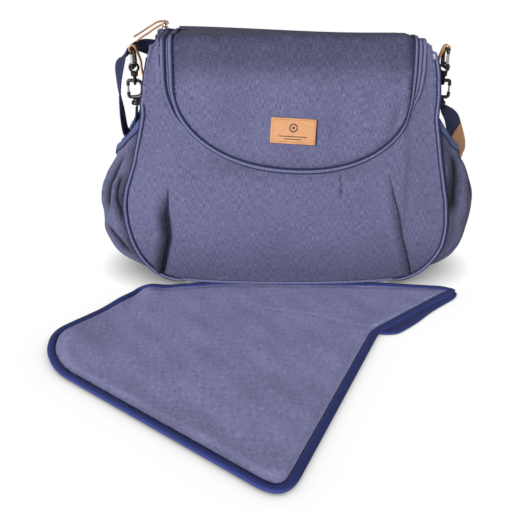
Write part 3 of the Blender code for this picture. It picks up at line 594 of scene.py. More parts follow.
def pleat(x, z, line, width, depth, lap):
    """A groove with one soft side and one steep side, under a lip of lapping cloth, with the painted shade that
    darkens it.
    """
    xs, zs = np.array(line).T
    top, bottom = zs[0], zs[-1]
    centre = np.interp(z, zs[::-1], xs[::-1])
    down = (top - z) / (top - bottom)
    strength = ease(down / 0.42) * (z < top) * ease(1 + (z - bottom) / 0.008)
    q = (x - centre) * lap / width
    soft = np.clip(1 + q / 1.9, 0, 1) ** 2 * np.exp(-(np.maximum(q, 0) / 0.12) ** 2)
    lip = hump(q, 0.36, 0.34) * 0.10
    # Painted shade on the groove's soft side, strongest at its steep wall.
    dark = strength * np.clip(1 + q / 1.5, 0, 1) ** 1.3 * np.exp(-(np.maximum(q, 0) / 0.12) ** 2)
    return depth * strength * (lip - soft), dark * min(0.85, depth / 0.0125)


def make_front():
    """The front panel runs from the mouth's line to the piped seam, with its pleats sewn into the seam."""
    count, steps = 861, 150
    mouth = evened(edge_line(*MOUTH, 0.0022, end=FRONT_END_RUN), count)
    z = np.concatenate([np.linspace(0.2762, 0.012, 240), [0.0105, SEAM_Z]])
    side = pair(half_width(z), run_at(z))
    side[0, 1] = FRONT_END_RUN
    bottom = pair(np.linspace(BASE_HALF, 0, 60)[1:], 0.0)
    half = np.concatenate([side, bottom])
    seam = evened(np.concatenate([half * (-1, 1), half[-2::-1]]), count)
    v = np.linspace(0, 1, steps)[None, :, None]
    flat = mouth[:, None] * (1 - v) + seam[:, None] * v
    x, run = flat[..., 0], flat[..., 1]
    height = over(x, run)[..., 2]
    limit = half_width(np.maximum(height, SEAM_Z))
    x = np.clip(x, -limit, limit)
    points = over(x, run)
    height = points[..., 2]
    pleats = [pleat(x, height, *each) for each in FRONT_PLEATS]
    push = sum(each for each, _ in pleats)
    shade = np.max([each for _, each in pleats], axis=0)
    # Painted shade: darker towards the bottom of the front, and in a band along the flap's lower edge where its shadow
    # falls.
    below = np.exp(-(((run - run_at(MOUTH[2] - 0.008)) / 0.012) ** 2)) * ease((0.115 - np.abs(x)) / 0.05)
    shade = 1 - (1 - shade) * (1 - 0.38 * ease((0.085 - height) / 0.085)) * (1 - 0.22 * below)
    fade = ease((1 - v[..., 0]) / 0.035) * ease(v[..., 0] / 0.10)
    soft = 0.0016 * waves(points, 0.085, 3) + 0.0005 * waves(points, 0.030, 4)
    pucker = 0.0005 * np.sin(np.arange(count)[:, None] * 0.38) * np.exp(-(1 - v[..., 0]) / 0.03)
    crown = 0.0016 * np.sin(pi * v[..., 0]) ** 0.7
    for start, lean in ((-0.1490, 0.42), (-0.1470, 0.36), (-0.1446, 0.30)):
        up = run - BEND_RUN + 0.004
        line = (x - start - lean * up) / 0.0008
        soft -= 0.0016 * np.exp(-line * line) * ease(up / 0.004) * ease((0.019 - up) / 0.006)
    points = raised(points, (push + soft + crown) * fade + pucker * fade)
    sheet("front_panel_cloth", points, flat, CLOTH, ["front_panel"], shade=shade)


def side_slope(z):
    """The slope of the bag's side in front view at each height, and the length of (1, slope)."""
    step = 0.0004
    low = np.maximum(z - step, SEAM_Z)
    slope = (half_width(z + step) - half_width(low)) / (z + step - low)
    return slope, np.hypot(1, slope)


def seam_depth(seam, z):
    """How far from the middle of the bag's depth the piping of the front or back seam stands."""
    return np.maximum(half_depth(z) + 0.0023, np.abs(seam(half_width(z), z + 0.002)) + 0.0027)


def seam_path(sign, out=0.0022, forward=0.0):
    """Along the front or back seam, down one side, across the bottom and up the other."""
    seam = front_y if sign < 0 else back_y
    top = 0.2815 if sign > 0 else 0.2700
    z = np.concatenate([np.linspace(top, 0.03, 70), np.linspace(0.027, 0.0100, 16)])
    slope, size = side_slope(z)
    y = sign * (seam_depth(seam, z) + forward)
    column = triple(half_width(z) + out / size, y, z - out * slope / size)
    x = np.linspace(0.001 - BASE_HALF, BASE_HALF - 0.001, 70)
    bottom = triple(x, seam(x, SEAM_Z + 0.0025) + sign * (0.0030 + forward), SEAM_Z - 0.0006)
    left = column * (-1, 1, 1)
    if sign < 0:
        left = left + ease((z - 0.214) / 0.014)[:, None] * (0.0022, 0.0052, 0)
    return evened(np.concatenate([left, bottom, column[::-1]]), 460)


def make_piping():
    for name, sign in (("front_piping", -1), ("back_piping", 1)):
        path = seam_path(sign)
        path[0] += (0.0040, -sign * 0.0035, -0.0005)
        path[-1] += (-0.0040, -sign * 0.0035, -0.0005)
        puckers = 1 + 0.035 * np.sin(np.arange(len(path)) * 1.7)
        tube(name + "_cord", path, 0.0016 * puckers, "piping", "bag", [name], 12)
        # Thin dark tubes beside the cord are painted seam shadow.
        for place, out, forward in (("inner", 0.0002, 0.0006), ("outer", 0.0042, -0.0006)):
            line = seam_path(sign, out, forward)[4:-4]
            tube(f"{name}_{place}_line", line, 0.0010, "seam_shadow", "bag")


def make_gussets():
    rows = np.concatenate([
        np.linspace(SEAM_Z, 0.262, 90), np.linspace(0.2640, 0.2765, 8),
        [0.2780, 0.2790, 0.2800, 0.2806, 0.2810],
    ])
    lip_share = np.interp(rows, [0.262, 0.2765, 0.2800, 0.2810], [0, 0.0006 / LIP, 0.0040 / LIP, 1])
    a = np.linspace(-1, 1, 60)[:, None]
    z = rows[None, :]
    share = lip_share[None, :]
    for side, name in SIDES:
        drop = SEAM_Z * (1 - np.abs(a) ** 6) * np.maximum(0.0, 1 - (z - SEAM_Z) / 0.05) ** 2
        out = half_width(z) + gusset_bulge(z) * (1 - a * a) * np.minimum(1.0, (z - SEAM_Z) / 0.02)
        out = out + (half_width(z) - LIP - out) * share
        ends = 0.0016 * np.maximum(0.0, np.abs(a) - 0.6) / 0.4 * share
        place = side * a + 0 * z
        y = place * np.where(place < 0, *(seam_depth(seam, z) - 0.0010 for seam in (front_y, back_y)))
        points = triple(side * out, y, z - drop - ends)
        fade = ease((1 - np.abs(a)) / 0.15) * ease((0.262 - z) / 0.02)
        soft = 0.0010 * waves(points, 0.05, 11 + side) * ease((z - 0.02) / 0.04)
        gathers = -0.0012 * ease((z - 0.215) / 0.04) * np.abs(np.sin(a * 5.2 + 0.6)) ** 1.5
        points = raised(points, (soft + gathers) * fade)
        uv = pair(y, z)
        sheet(name + "_gusset_cloth", points, uv, CLOTH, [name + "_gusset"])


def make_back_and_base():
    s = np.linspace(1, -1, 150)[:, None]
    z = np.concatenate([np.linspace(SEAM_Z, 0.03, 14), np.linspace(0.034, 0.279, 80)])[None, :]
    x = s * half_width(z)
    points = triple(x, back_y(x, z), z)
    fade = ease((1 - np.abs(s)) / 0.06) * ease((z - SEAM_Z) / 0.015) * ease((0.279 - z) / 0.012)
    soft = 0.0009 * waves(points, 0.08, 21) + 0.0003 * waves(points, 0.03, 22)
    points = raised(points, soft * fade)
    sheet("back_panel_cloth", points, pair(x, z), CLOTH, ["back_panel"])
    x = np.linspace(BASE_HALF - 0.0015, 0.0015 - BASE_HALF, 90)[:, None]
    v = np.concatenate([np.linspace(0, 0.14, 12), np.linspace(0.17, 0.83, 30),
                        np.linspace(0.86, 1, 12)])[None, :]
    y0, y1 = front_y(x, SEAM_Z) + 0.0034, back_y(x, SEAM_Z) - 0.0034
    y = y0 + (y1 - y0) * v
    curl = np.maximum(0.0, np.abs(2 * v - 1) - 0.72) / 0.28
    height = (SEAM_Z + 0.0005) * (1 - (1 - curl) ** 2) + 0 * x
    points = triple(x, y, height)
    sheet("base_panel_cloth", points, pair(x, y), CLOTH, ["base_panel"])


LINING = {"look": "satin", "slot": "lining_fabric"}


def make_lining():
    rows = np.linspace(0.016, 0.152, 40)
    tall = np.linspace(0.016, 0.271, 70)
    for name, seam, sign, heights in (
        ("lining_front", front_y, 1, rows), ("lining_back", back_y, -1, tall),
    ):
        s = np.linspace(-1, 1, 80)[:, None] * sign
        z = heights[None, :]
        x = s * (half_width(z) - 0.010)
        y = seam(s * half_width(z), z) + sign * 0.0032
        points = triple(x, y, z)
        points = raised(points, -0.0004 + 0.0004 * waves(points, 0.03, 31))
        sheet(name + "_cloth", points, pair(x, z), 0.0007, [name], **LINING)
    a = np.linspace(-1, 1, 30)[:, None]
    z = tall[None, :] * 0.985
    for side, name in SIDES:
        out = half_width(z) + gusset_bulge(z) * (1 - a * a) - 0.0062
        y = side * a * (half_depth(z) - 0.010)
        points = triple(side * out, y, z)
        points = raised(points, 0.0004 * waves(points, 0.03, 33))
        sheet("lining_" + name + "_cloth", points, pair(y, z), 0.0007, ["lining_" + name], **LINING)
    s = np.linspace(1, -1, 70)[:, None]
    z = np.linspace(0.040, 0.165, 44)[None, :]
    loose = (1 - np.abs(s) ** 6) * np.minimum(1.0, (z - 0.040) / 0.016)
    gather = 0.0008 * np.sin(s * 38) * ease((z - 0.13) / 0.03) * loose
    x = s * 0.10 + 0 * z
    points = triple(x, back_y(x, z) - 0.0047 - 0.0105 * loose + gather, z)
    sheet("inner_pocket_cloth", points, pair(x, z), 0.0009, ["inner_pocket"], **LINING)


# Side pockets

POCKET_MID = [
    (0.152, 0.0040), (0.180, 0.0052), (0.200, 0.0150), (0.212, 0.0360),
    (0.2190, 0.0640), (0.2200, 0.0920), (0.2150, 0.1180), (0.2060, 0.1400), (0.1990, 0.1560),
]
POCKET_EDGE_Z = [0.0165, 0.0200, 0.0280, 0.0460, 0.0720, 0.1000, 0.1300, 0.1640, 0.2020]
# Folds in each pocket: (share of its height, place across its depth) from top to bottom with the front at -1, then
# half width and depth
POCKET_FOLDS = {
    "left": [
        ([(0.90, -0.72), (0.84, -0.62), (0.76, -0.60), (0.68, -0.65), (0.58, -0.60)], 0.130, 0.0170),
        ([(0.79, -0.86), (0.70, -0.88), (0.62, -0.93), (0.50, -0.955)], 0.060, 0.0125),
        ([(0.52, -0.56), (0.43, -0.74), (0.30, -0.94)], 0.120, 0.0150),
        ([(0.92, -0.20), (0.75, -0.14), (0.56, -0.20)], 0.080, 0.0070),
        ([(0.92, 0.25), (0.70, 0.20), (0.48, 0.27)], 0.090, 0.0080),
        ([(0.90, 0.66), (0.65, 0.60), (0.40, 0.72)], 0.080, 0.0085),
    ],
    "right": [
        ([(0.91, -0.66), (0.87, -0.70), (0.78, -0.78), (0.71, -0.85), (0.56, -0.94)], 0.120, 0.0190),
        ([(0.40, -0.66), (0.33, -0.80), (0.26, -0.93)], 0.050, 0.0070),
        ([(0.90, -0.32), (0.75, -0.38), (0.58, -0.34)], 0.080, 0.0065),
        ([(0.92, 0.06), (0.70, 0.00), (0.48, 0.06)], 0.090, 0.0070),
        ([(0.90, 0.52), (0.62, 0.46), (0.42, 0.56)], 0.080, 0.0080),
    ],
}
POCKET_TOP = 0.962
# The cloth of a pocket, flat: half its width and its height
POCKET_CLOTH = (0.075, 0.19)


def pocket_points(side, b, t, out=0.0):
    """Points on a side pocket at b across its depth and a share t of its height."""
    b, t = np.broadcast_arrays(b, t)
    shares = np.linspace(0, 1, 60)
    mid = resample([(x, 0, z) for x, z in POCKET_MID], 60)
    edge = resample([(z, 0, i) for i, z in enumerate(POCKET_EDGE_Z)], 60)
    mx, mz = np.interp(t, shares, mid[:, 0]), np.interp(t, shares, mid[:, 2])
    z = np.interp(t, shares, edge[:, 0])
    slope, size = side_slope(z)
    ex, ez = half_width(z) + 0.0030 / size, z - 0.0030 * slope / size
    full = 1 - np.abs(b) ** 2.6
    depth = half_depth(z) - 0.0048
    return triple(side * (ex + (mx - ex) * full + out), b * depth, ez + (mz - ez) * full)


def pocket_cloth(side, name, b, t, out=0.0):
    """Pocket points with the cloth's folds and gathers pushed in or out, and the painted shade over the folds, edges
    and bottom.
    """
    points = pocket_points(side, b, t)
    b, t = np.broadcast_arrays(b, t)
    push, shade = np.zeros(points.shape[:2]), np.zeros(points.shape[:2])
    for line, width, depth in POCKET_FOLDS[name]:
        heights, places = np.array(line)[::-1].T
        q = (b - np.interp(t, heights, places)) / width
        along = ease((heights[-1] + 0.02 - t) / 0.06) * ease((t - heights[0]) / 0.09)
        push += depth * along * (0.16 * hump(np.abs(q), 1.7, 0.8) - 0.2 * np.exp(-np.abs(q) ** 1.7))
        # Painted shade along each fold.
        shade = np.maximum(shade, along * min(0.93, depth / 0.0125) * np.exp(-np.abs(q / 0.85) ** 1.6))
    push += 0.0009 * np.sin(b * 21 + 1.3 * np.sin(b * 5)) * np.exp(-np.abs(POCKET_TOP - t) / 0.12)
    push += 0.0011 * waves(points, 0.035, 41 + side)
    push += 0.0048 * ease(t / 0.35) * ease((POCKET_TOP - t) / 0.4)
    push -= 0.0060 * hump(t, 0.20, 0.12) * (1 - np.abs(b) ** 3)
    fade = ease((1 - np.abs(b)) / 0.05) * ease(t / 0.06)
    # More painted shade towards the pocket's front and rear edges and towards its bottom.
    shade = 1 - (1 - shade) * (1 - 0.45 * ease((np.abs(b) - 0.80) / 0.2)) * (1 - 0.35 * ease((0.35 - t) / 0.3))
    return raised(points, push * fade + out), shade


def make_pockets():
    for side, name in SIDES:
        b = np.linspace(-1, 1, 260)[:, None] * side
        t = np.linspace(0, POCKET_TOP, 130)[None, :]
        uv = pair(b, t) * POCKET_CLOTH
        cloth, shade = pocket_cloth(side, name, b, t)
        sheet(name + "_pocket_cloth", cloth, uv, 0.0016, [name + "_pocket"], shade=shade)
        b = np.linspace(-1, 1, 640)[:, None] * side
        t = np.linspace(POCKET_TOP - 0.012, 1.0, 14)[None, :]
        edge = ease((1 - t) / 0.010) * ease((t - POCKET_TOP + 0.012) / 0.010)
        ribs = 0.0016 * (np.abs(np.sin(b * 62 + 14 * t)) ** 0.7 - 0.6)
        uv = pair(b, t) * POCKET_CLOTH
        band, _ = pocket_cloth(side, name, b, t, (ribs + 0.0011) * edge + 0.0004)
        sheet(name + "_pocket_ribbing", band, uv, 0.0026, [name + "_pocket_binding"], "rib", "bag",
              "ribbed_binding")
        # A thin dark tube under the ribbing is painted seam shadow.
        b = np.linspace(-0.99, 0.99, 200) * side
        seam = pocket_cloth(side, name, b[:, None], np.array([[-0.014, -0.012, -0.010]]) + POCKET_TOP,
                            0.0012)[0][:, 1]
        tube(name + "_pocket_seam_line", seam, 0.0008, "seam_shadow", "bag", up=(0, 0, 1))


# Lid, flap, label and zip


def lid_grid(half, turn_z, low_z, tilt, shift, columns, rows, bend_rows):
    """x and run over a lid piece, from its lower edge up the front and back over the top."""
    s = np.sin(np.linspace(-pi / 2, pi / 2, columns))[:, None]
    first = run_at(lower_edge(s, turn_z, low_z, tilt * half))
    v = np.linspace(0, 1, rows)[None, :]
    hanging = first + (BEND_RUN - first) * v
    top = BEND_RUN + (PROFILE_END - BEND_RUN) * np.linspace(0, 1, bend_rows)[None, 1:]
    run = np.concatenate([hanging, np.broadcast_to(top, (columns, bend_rows - 1))], 1)
    return shift + s * half + 0 * run, run, s


def edge_distance(s, run, half, turn_z, low_z, tilt):
    """A soft measure of how far a point of the flap is from its side and lower edges."""
    side = (1 - np.abs(s)) * half
    low = run - run_at(lower_edge(s, turn_z, low_z, tilt * half))
    return np.minimum(side * (1 + 0 * low), np.maximum(low, 0))


def flap_out(run):
    """How far the flap stands off the lid: it comes down to its seam at the rear of the top."""
    return FLAP_OFFSET - 0.0042 * ease((run - BEND_RUN - 0.012) / 0.05)


# Dents in the flap: (x, z), depth, and how wide and tall
FLAP_DENTS = [
    ((0.108, 0.232), 0.0030, 0.018, 0.012), ((0.094, 0.214), 0.0018, 0.014, 0.020),
    ((-0.100, 0.222), 0.0016, 0.020, 0.018), ((0.030, 0.250), 0.0010, 0.040, 0.012),
    ((-0.040, 0.206), 0.0009, 0.030, 0.024), ((0.118, 0.200), 0.0020, 0.010, 0.020),
]


def beside_flap(grow, sink, count):
    """Points along the flap's edge, moved outwards by grow and down from its face by sink."""
    x, run = evened(edge_line(*FLAP, grow, FLAP_TILT, FLAP_SHIFT), count).T
    return over(x, run, flap_out(run) - sink)


def beside_mouth(grow, count, out):
    """Points along the zip's line, moved outwards by grow and raised by out."""
    return over(*evened(edge_line(*MOUTH, grow), count).T, out)


def make_lid():
    x, run, s = lid_grid(MOUTH[0] - 0.0014, MOUTH[1], MOUTH[2] + 0.0014, 0, 0, 90, 50, 60)
    points = over(x, run, 0.0)
    sheet("lid_panel_cloth", points, pair(x, run), CLOTH, ["lid_panel"], body="lid")
    x, run, s = lid_grid(*FLAP, FLAP_TILT, FLAP_SHIFT, 170, 110, 80)
    near = edge_distance(s, run, *FLAP, FLAP_TILT)
    out = flap_out(run) - 0.0026 * np.exp(-near / 0.0035)
    on_top = ease((run - BEND_RUN) / 0.03)
    rear = ease((PROFILE_END - run) / 0.03)
    puff = 0.0022 * ease(near / 0.035)
    points = over(x, run, out + puff * (1 - 0.4 * on_top) * rear)
    soft = 0.0017 * waves(points, 0.090, 51) + 0.0006 * waves(points, 0.034, 52)
    for (px, pz), depth, wide, tall in FLAP_DENTS:
        soft -= 1.5 * depth * np.exp(-(((x - px) / wide) ** 2) - ((run - run_at(pz)) / tall) ** 2)
    soft -= 0.0022 * np.exp(-((run - BEND_RUN + 0.010) / 0.010) ** 2) * (0.7 + 0.3 * np.sin(x * 60))
    gather = 0.0009 * np.sin(run * 820 + 2 * np.sin(run * 190)) * ease((np.abs(s) - 0.96) / 0.04)
    pucker = (0.0004 * np.sin(np.arange(x.shape[0])[:, None] * 1.1) + gather) * np.exp(-near / 0.004)
    lift = (soft * ease(near / 0.012) + pucker) * rear
    # Painted shade: the flap's top roll is darker, and so is a narrow band along its sides and lower edge.
    shade = 1 - (1 - 0.42 * ease((run - BEND_RUN + 0.030) / 0.035)) * (1 - 0.30 * np.exp(-near / 0.004))
    points = raised(points, lift)
    sheet("flap_cloth", points, pair(x, run), 0.0018, ["flap"], body="lid", shade=shade)
    x, run, s = lid_grid(FLAP[0] + 0.0012, FLAP[1], FLAP[2] - 0.0012, FLAP_TILT, FLAP_SHIFT, 90, 50, 60)
    near = edge_distance(s, run, *FLAP, FLAP_TILT)
    points = over(x, run, flap_out(run) * 0.72 - 0.0024 + 0.0004 * waves(over(x, run), 0.04, 53))
    sheet("flap_lining_cloth", points, pair(x, run), 0.0010, ["flap_lining"], "satin", "lid", "lining_fabric")
    path = beside_flap(0.0030, 0.0028, 520)
    puckers = 1 + 0.03 * np.sin(np.arange(len(path)) * 1.9)
    tube("flap_piping_cord", path, FLAP_BAND_RADIUS * puckers, "piping", "lid",
         ["flap_piping"], 12)
    # Thin dark tubes along both sides of the flap's cord are painted seam shadow.
    for place, grow, sink in (("inner", 0.0008, 0.0014), ("outer", 0.0050, 0.0046)):
        tube(f"flap_{place}_line", beside_flap(grow, sink, 400), 0.0013, "seam_shadow", "lid")


def make_lid_fold():
    """The cloth that joins the lid's rear edge to the back panel."""
    x = np.linspace(0.126, -0.126, 90)[:, None]
    z = np.linspace(0.262, 0.2785, 9)[None, :]
    rear = triple(x, back_y(x, z) + 0.0012, z)
    run = np.linspace(PROFILE_END - 0.001, PROFILE_END - 0.016, 9)[None, :]
    top = over(x, run, flap_out(run) + 0.0012)
    joined = np.concatenate([rear, top], 1)
    points = np.stack([resample(row, 40) for row in joined])
    points = slumped(points.reshape(-1, 3)).reshape(points.shape)
    uv = pair(x, np.linspace(0, 0.036, 40)[None, :])
    # The fold cloth is evenly darkened by painted shade.
    fold = sheet("lid_fold_cloth", points, uv, 0.0012, body=None, shade=0.42)
    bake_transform(fold)


def make_label():
    """A leather plate sewn to the flap, with a pressed border and a plain round device."""
    width, height, corner, thickness = 0.0490, 0.0280, 0.0016, 0.0018
    tilt, middle = radians(3.4), float(run_at(0.1895))
    base_out = FLAP_OFFSET + 0.0022 + 0.0018

    def place(across, up, out):
        x = across * cos(tilt) + up * sin(tilt) + FLAP_SHIFT + 0.0005
        return over(x, middle + up * cos(tilt) - across * sin(tilt), base_out + out)

    def outline(inset):
        points = []
        for sx, sy, first in TURNS:
            for angle in np.linspace(first, first + 90, 6):
                points.append((
                    sx * (width / 2 - corner) + (corner - inset) * cos(radians(angle)),
                    sy * (height / 2 - corner) + (corner - inset) * sin(radians(angle)),
                ))
        return np.array(points)

    # From the underside round the edge and in over the face: (inset, height over the back)
    levels = [(0.0003, 0), (0, 0.0003), (0, thickness - 0.0004), (0.0004, thickness), (0.0012, thickness)]
    rings = [place(*outline(inset).T, out) for inset, out in levels]
    plate = loft("label_plate_leather", rings, "tan", "lid", ["label_plate"])
    plate.data.materials.append(LOOKS["tan_edge"])
    for polygon in plate.data.polygons[: 24 * 3]:
        polygon.material_index = 1
    border = np.concatenate([outline(0.0022), outline(0.0022)[:1]])
    path = place(*evened(border, 160).T, thickness)
    tube("label_border", path, 0.00022, "tan_edge", "lid", sides=6, up=(0, 0, 1))
    angles = np.linspace(0, 2 * pi, 49)
    ring = place(0.0040 * np.cos(angles), 0.0034 + 0.0040 * np.sin(angles), thickness + 0.0001)
    tube("label_ring", ring, 0.0006, "print", "lid", up=(0, 1, 0), flat=0.4)
    for i, (half, up) in enumerate(((0.0012, 0.0034), (0.0150, -0.0060), (0.0090, -0.0088))):
        bar = place(np.linspace(-half, half, 20), np.full(20, up), thickness + 0.0001)
        tube(f"label_bar_{i + 1}", bar, 0.00045 if i else 0.0012, "print", "lid", up=(0, 1, 0),
             flat=0.4)


def make_zip():
    """Two ridged tapes and two rows of teeth along the mouth's line."""
    for name, low, high, body in (("zip_tape_body", -0.0006, 0.0084, "bag"),
                                  ("zip_tape_lid", -0.0100, -0.0026, "lid")):
        grows = np.linspace(high, low, 25)
        lines = [evened(edge_line(*MOUTH, grow), 360) for grow in grows]
        v = np.linspace(0, 1, 25)[None, :]
        flat = np.stack(lines, 1)
        welt = 0.0004 + 0.0020 * np.abs(np.sin(pi * 2 * v)) ** 0.6 * (0.9 + 0.1 * np.cos(v * 9))
        fade = 1 if body == "bag" else 0.7
        points = over(flat[..., 0], flat[..., 1], 0.0004 + welt * fade)
        sheet(name + "_welts", points, flat, 0.0006, [name], "piping", body, "zip_navy")
        # A thin dark tube along the middle of each tape is painted shadow in the valley between its welts.
        valley = beside_mouth((low + high) / 2, 360, 0.0012)
        tube(name + "_valley", valley, 0.0008, "seam_shadow", body)
    # The teeth take the dark seam-shadow look: the coil's own dark colour deepened by painted shade between the tapes.
    for name, grow, body in (("zip_coil_body", -0.0009, "bag"), ("zip_coil_lid", -0.0024, "lid")):
        path = beside_mouth(grow, 2200, 0.0014)
        teeth = 0.00070 + 0.00022 * np.sin(np.arange(len(path)) * 2 * pi / 6)
        tube(name + "_teeth", path, teeth, "seam_shadow", body, [name], 7)


# Hooks, slider and strap


def rounded_path(corners, radius, steps=7):
    """A polyline through corners with each inner corner turned into an arc."""
    corners = [np.array(c, float) for c in corners]
    points = [corners[0]]
    for before, here, after in zip(corners, corners[1:], corners[2:]):
        a, b = before - here, after - here
        reach = min(radius, 0.49 * np.linalg.norm(a), 0.49 * np.linalg.norm(b))
        a, b = a / np.linalg.norm(a) * reach, b / np.linalg.norm(b) * reach
        points += [here + a * (1 - t) ** 2 + b * t**2 for t in np.linspace(0, 1, steps)]
    return np.array(points + [corners[-1]])


def turned(name, profile, centre, look, body, nodes=(), steps=28, axis="z"):
    """A closed body of revolution from (radius, height) points, top to bottom."""
    angles = np.linspace(0, 2 * pi, steps, endpoint=False)
    rings = []
    for radius, height in profile:
        a, b = radius * np.cos(angles), radius * np.sin(angles)
        c = np.full(steps, height)
        rings.append(np.stack({"z": (a, b, c), "x": (c, a, b), "y": (b, c, a)}[axis], 1) + np.array(centre))
    return loft(name, rings, look, body, nodes, smooth_angle=40)


EYE_RADIUS = 0.0050


def make_hook(side, name):
    x = side * HOOK_OUT
    half, low, high = 0.0105, 0.2465, 0.2665
    gate_low, gate_high = 0.2512, 0.2618
    frame_path = rounded_path([
        (x, -half, gate_low), (x, -half, low), (x, half, low), (x, half, high), (x, -half, high),
        (x, -half, gate_high),
    ], 0.0062, 9)
    frame_path = evened(frame_path, 90)
    thick = 0.0019 + 0.0007 * ease(1 - np.abs(np.linspace(0, 1, 90) - 0.40) / 0.25)
    tube(f"upper_hook_{name}_body", frame_path, thick, "black", "bag",
         ["upper_hook_" + name], 14,
         flat=0.9)
    gate = evened(np.array([(x, -half, gate_low + 0.0006), (x, -half, gate_high - 0.0006)]), 8)
    blade = strip_rings(gate, np.array([[1.0, 0, 0]] * 8), np.array([[0, 1.0, 0]] * 8), 0.0034, 0.0017, 0.4)
    loft("upper_gate_" + name + "_blade", blade, "silver", "upper_gate_" + name,
         ["upper_gate_" + name])
    upper_eye, lower_eye = 0.2455, 0.2320
    angles = np.linspace(0, 2 * pi, 40, endpoint=False)
    eye = triple(x + EYE_RADIUS * np.cos(angles), 0, upper_eye + EYE_RADIUS * np.sin(angles))
    closed_ring("hook_swivel_" + name + "_upper_eye", eye, 0.0014, "black", "bag",
                ["hook_swivel_" + name])
    eye = triple(x, EYE_RADIUS * np.cos(angles), lower_eye + EYE_RADIUS * np.sin(angles))
    closed_ring("hook_swivel_" + name + "_lower_eye", eye, 0.0014, "black", "bag")
    turned("hook_swivel_" + name + "_barrel",
           [(0.0012, 0.2412), (0.0034, 0.2409), (0.0042, 0.2401), (0.0042, 0.2384), (0.0036, 0.2377),
            (0.0042, 0.2370), (0.0040, 0.2362), (0.0012, 0.2358)], (x, 0, 0), "black", "bag")
    make_lower_hook(side, name)


def closed_ring(name, path, radius, look, body, nodes=(), sides=12):
    """A ring of round wire along a closed flat path."""
    path = np.asarray(path, float)
    along = unit(steps_round(path))
    out = path - path.mean(0)
    out = unit(out - along * (out * along).sum(1, keepdims=True))
    up = np.cross(along, out)
    angles = np.linspace(0, 2 * pi, sides, endpoint=False)[None, :, None]
    rings = path[:, None] + radius * (np.cos(angles) * out[:, None] + np.sin(angles) * up[:, None])
    return loft(name, rings, look, body, nodes, closed=True)


def make_lower_hook(side, name):
    x, half, low, high = side * HOOK_OUT, 0.0082, 0.2120, 0.2310
    gate_low, gate_high = 0.2178, 0.2252
    path = rounded_path([
        (x + side * half, 0, gate_low), (x + side * half, 0, low), (x - side * half, 0, low),
        (x - side * half, 0, high), (x + side * half, 0, high), (x + side * half, 0, gate_high),
    ], 0.0078, 12)
    path = evened(path, 80)
    thick = 0.0020 + 0.0008 * ease(1 - np.abs(np.linspace(0, 1, 80) - 0.38) / 0.25)
    body = "lower_hook_" + name
    tube(body + "_body", path, thick, "black", body, [body], 14, (0, 1, 0), 0.9)
    gate = evened(np.array([(x + side * half, 0, gate_low + 0.0004),
                            (x + side * half, 0, gate_high - 0.0004)]), 8)
    body = "lower_gate_" + name
    tube(body + "_wire", gate, 0.0011, "silver", body, [body], 10, (0, 1, 0))
    turned("strap_collar_" + name + "_body",
           [(0.0020, 0.2101), (0.0034, 0.2099), (0.0040, 0.2092), (0.0041, 0.2080), (0.0056, 0.2070),
            (0.0060, 0.2062), (0.0060, 0.2046), (0.0052, 0.2034), (0.0030, 0.2031)],
           (x, 0, 0), "black", "bag", ["strap_collar_" + name])


def make_loops(side, name):
    """The leather strip that is riveted to the gusset and folds over the upper hook."""
    path = [(float(half_width(z) + gusset_bulge(z)) + 0.0014, z) for z in (0.188, 0.198, 0.208)]
    path += [(0.1606, 0.219), (0.1648, 0.230), (0.1676, 0.242), (0.1682, 0.252), (0.1708, 0.2610)]
    path += [
        (HOOK_OUT + 0.0037 * cos(radians(a)), 0.2665 + 0.0037 * sin(radians(a))) for a in np.linspace(180,
                                                                                                      -110, 9)
    ]
    fine = resample([(side * x, 0, z) for x, z in path], 70)
    facing = unit(np.cross(np.gradient(fine, axis=0), (0, 1, 0)))
    across = np.broadcast_to((0.0, 1.0, 0.0), fine.shape)
    loft("leather_loop_" + name + "_strip", strip_rings(fine, across, facing, 0.0084, 0.0015, 0.3), "tan",
         "bag",
         ["leather_loop_" + name])
    rivet_x = side * (float(half_width(0.198) + gusset_bulge(0.198)) + 0.0024)
    turned("loop_rivet_" + name + "_head",
           [(0.0005, side * 0.0013), (0.0015, side * 0.0011), (0.0022, side * 0.0006), (0.0025, 0),
            (0.0010, 0)],
           (rivet_x, 0, 0.198), "silver", "bag", ["loop_rivet_" + name], axis="x")


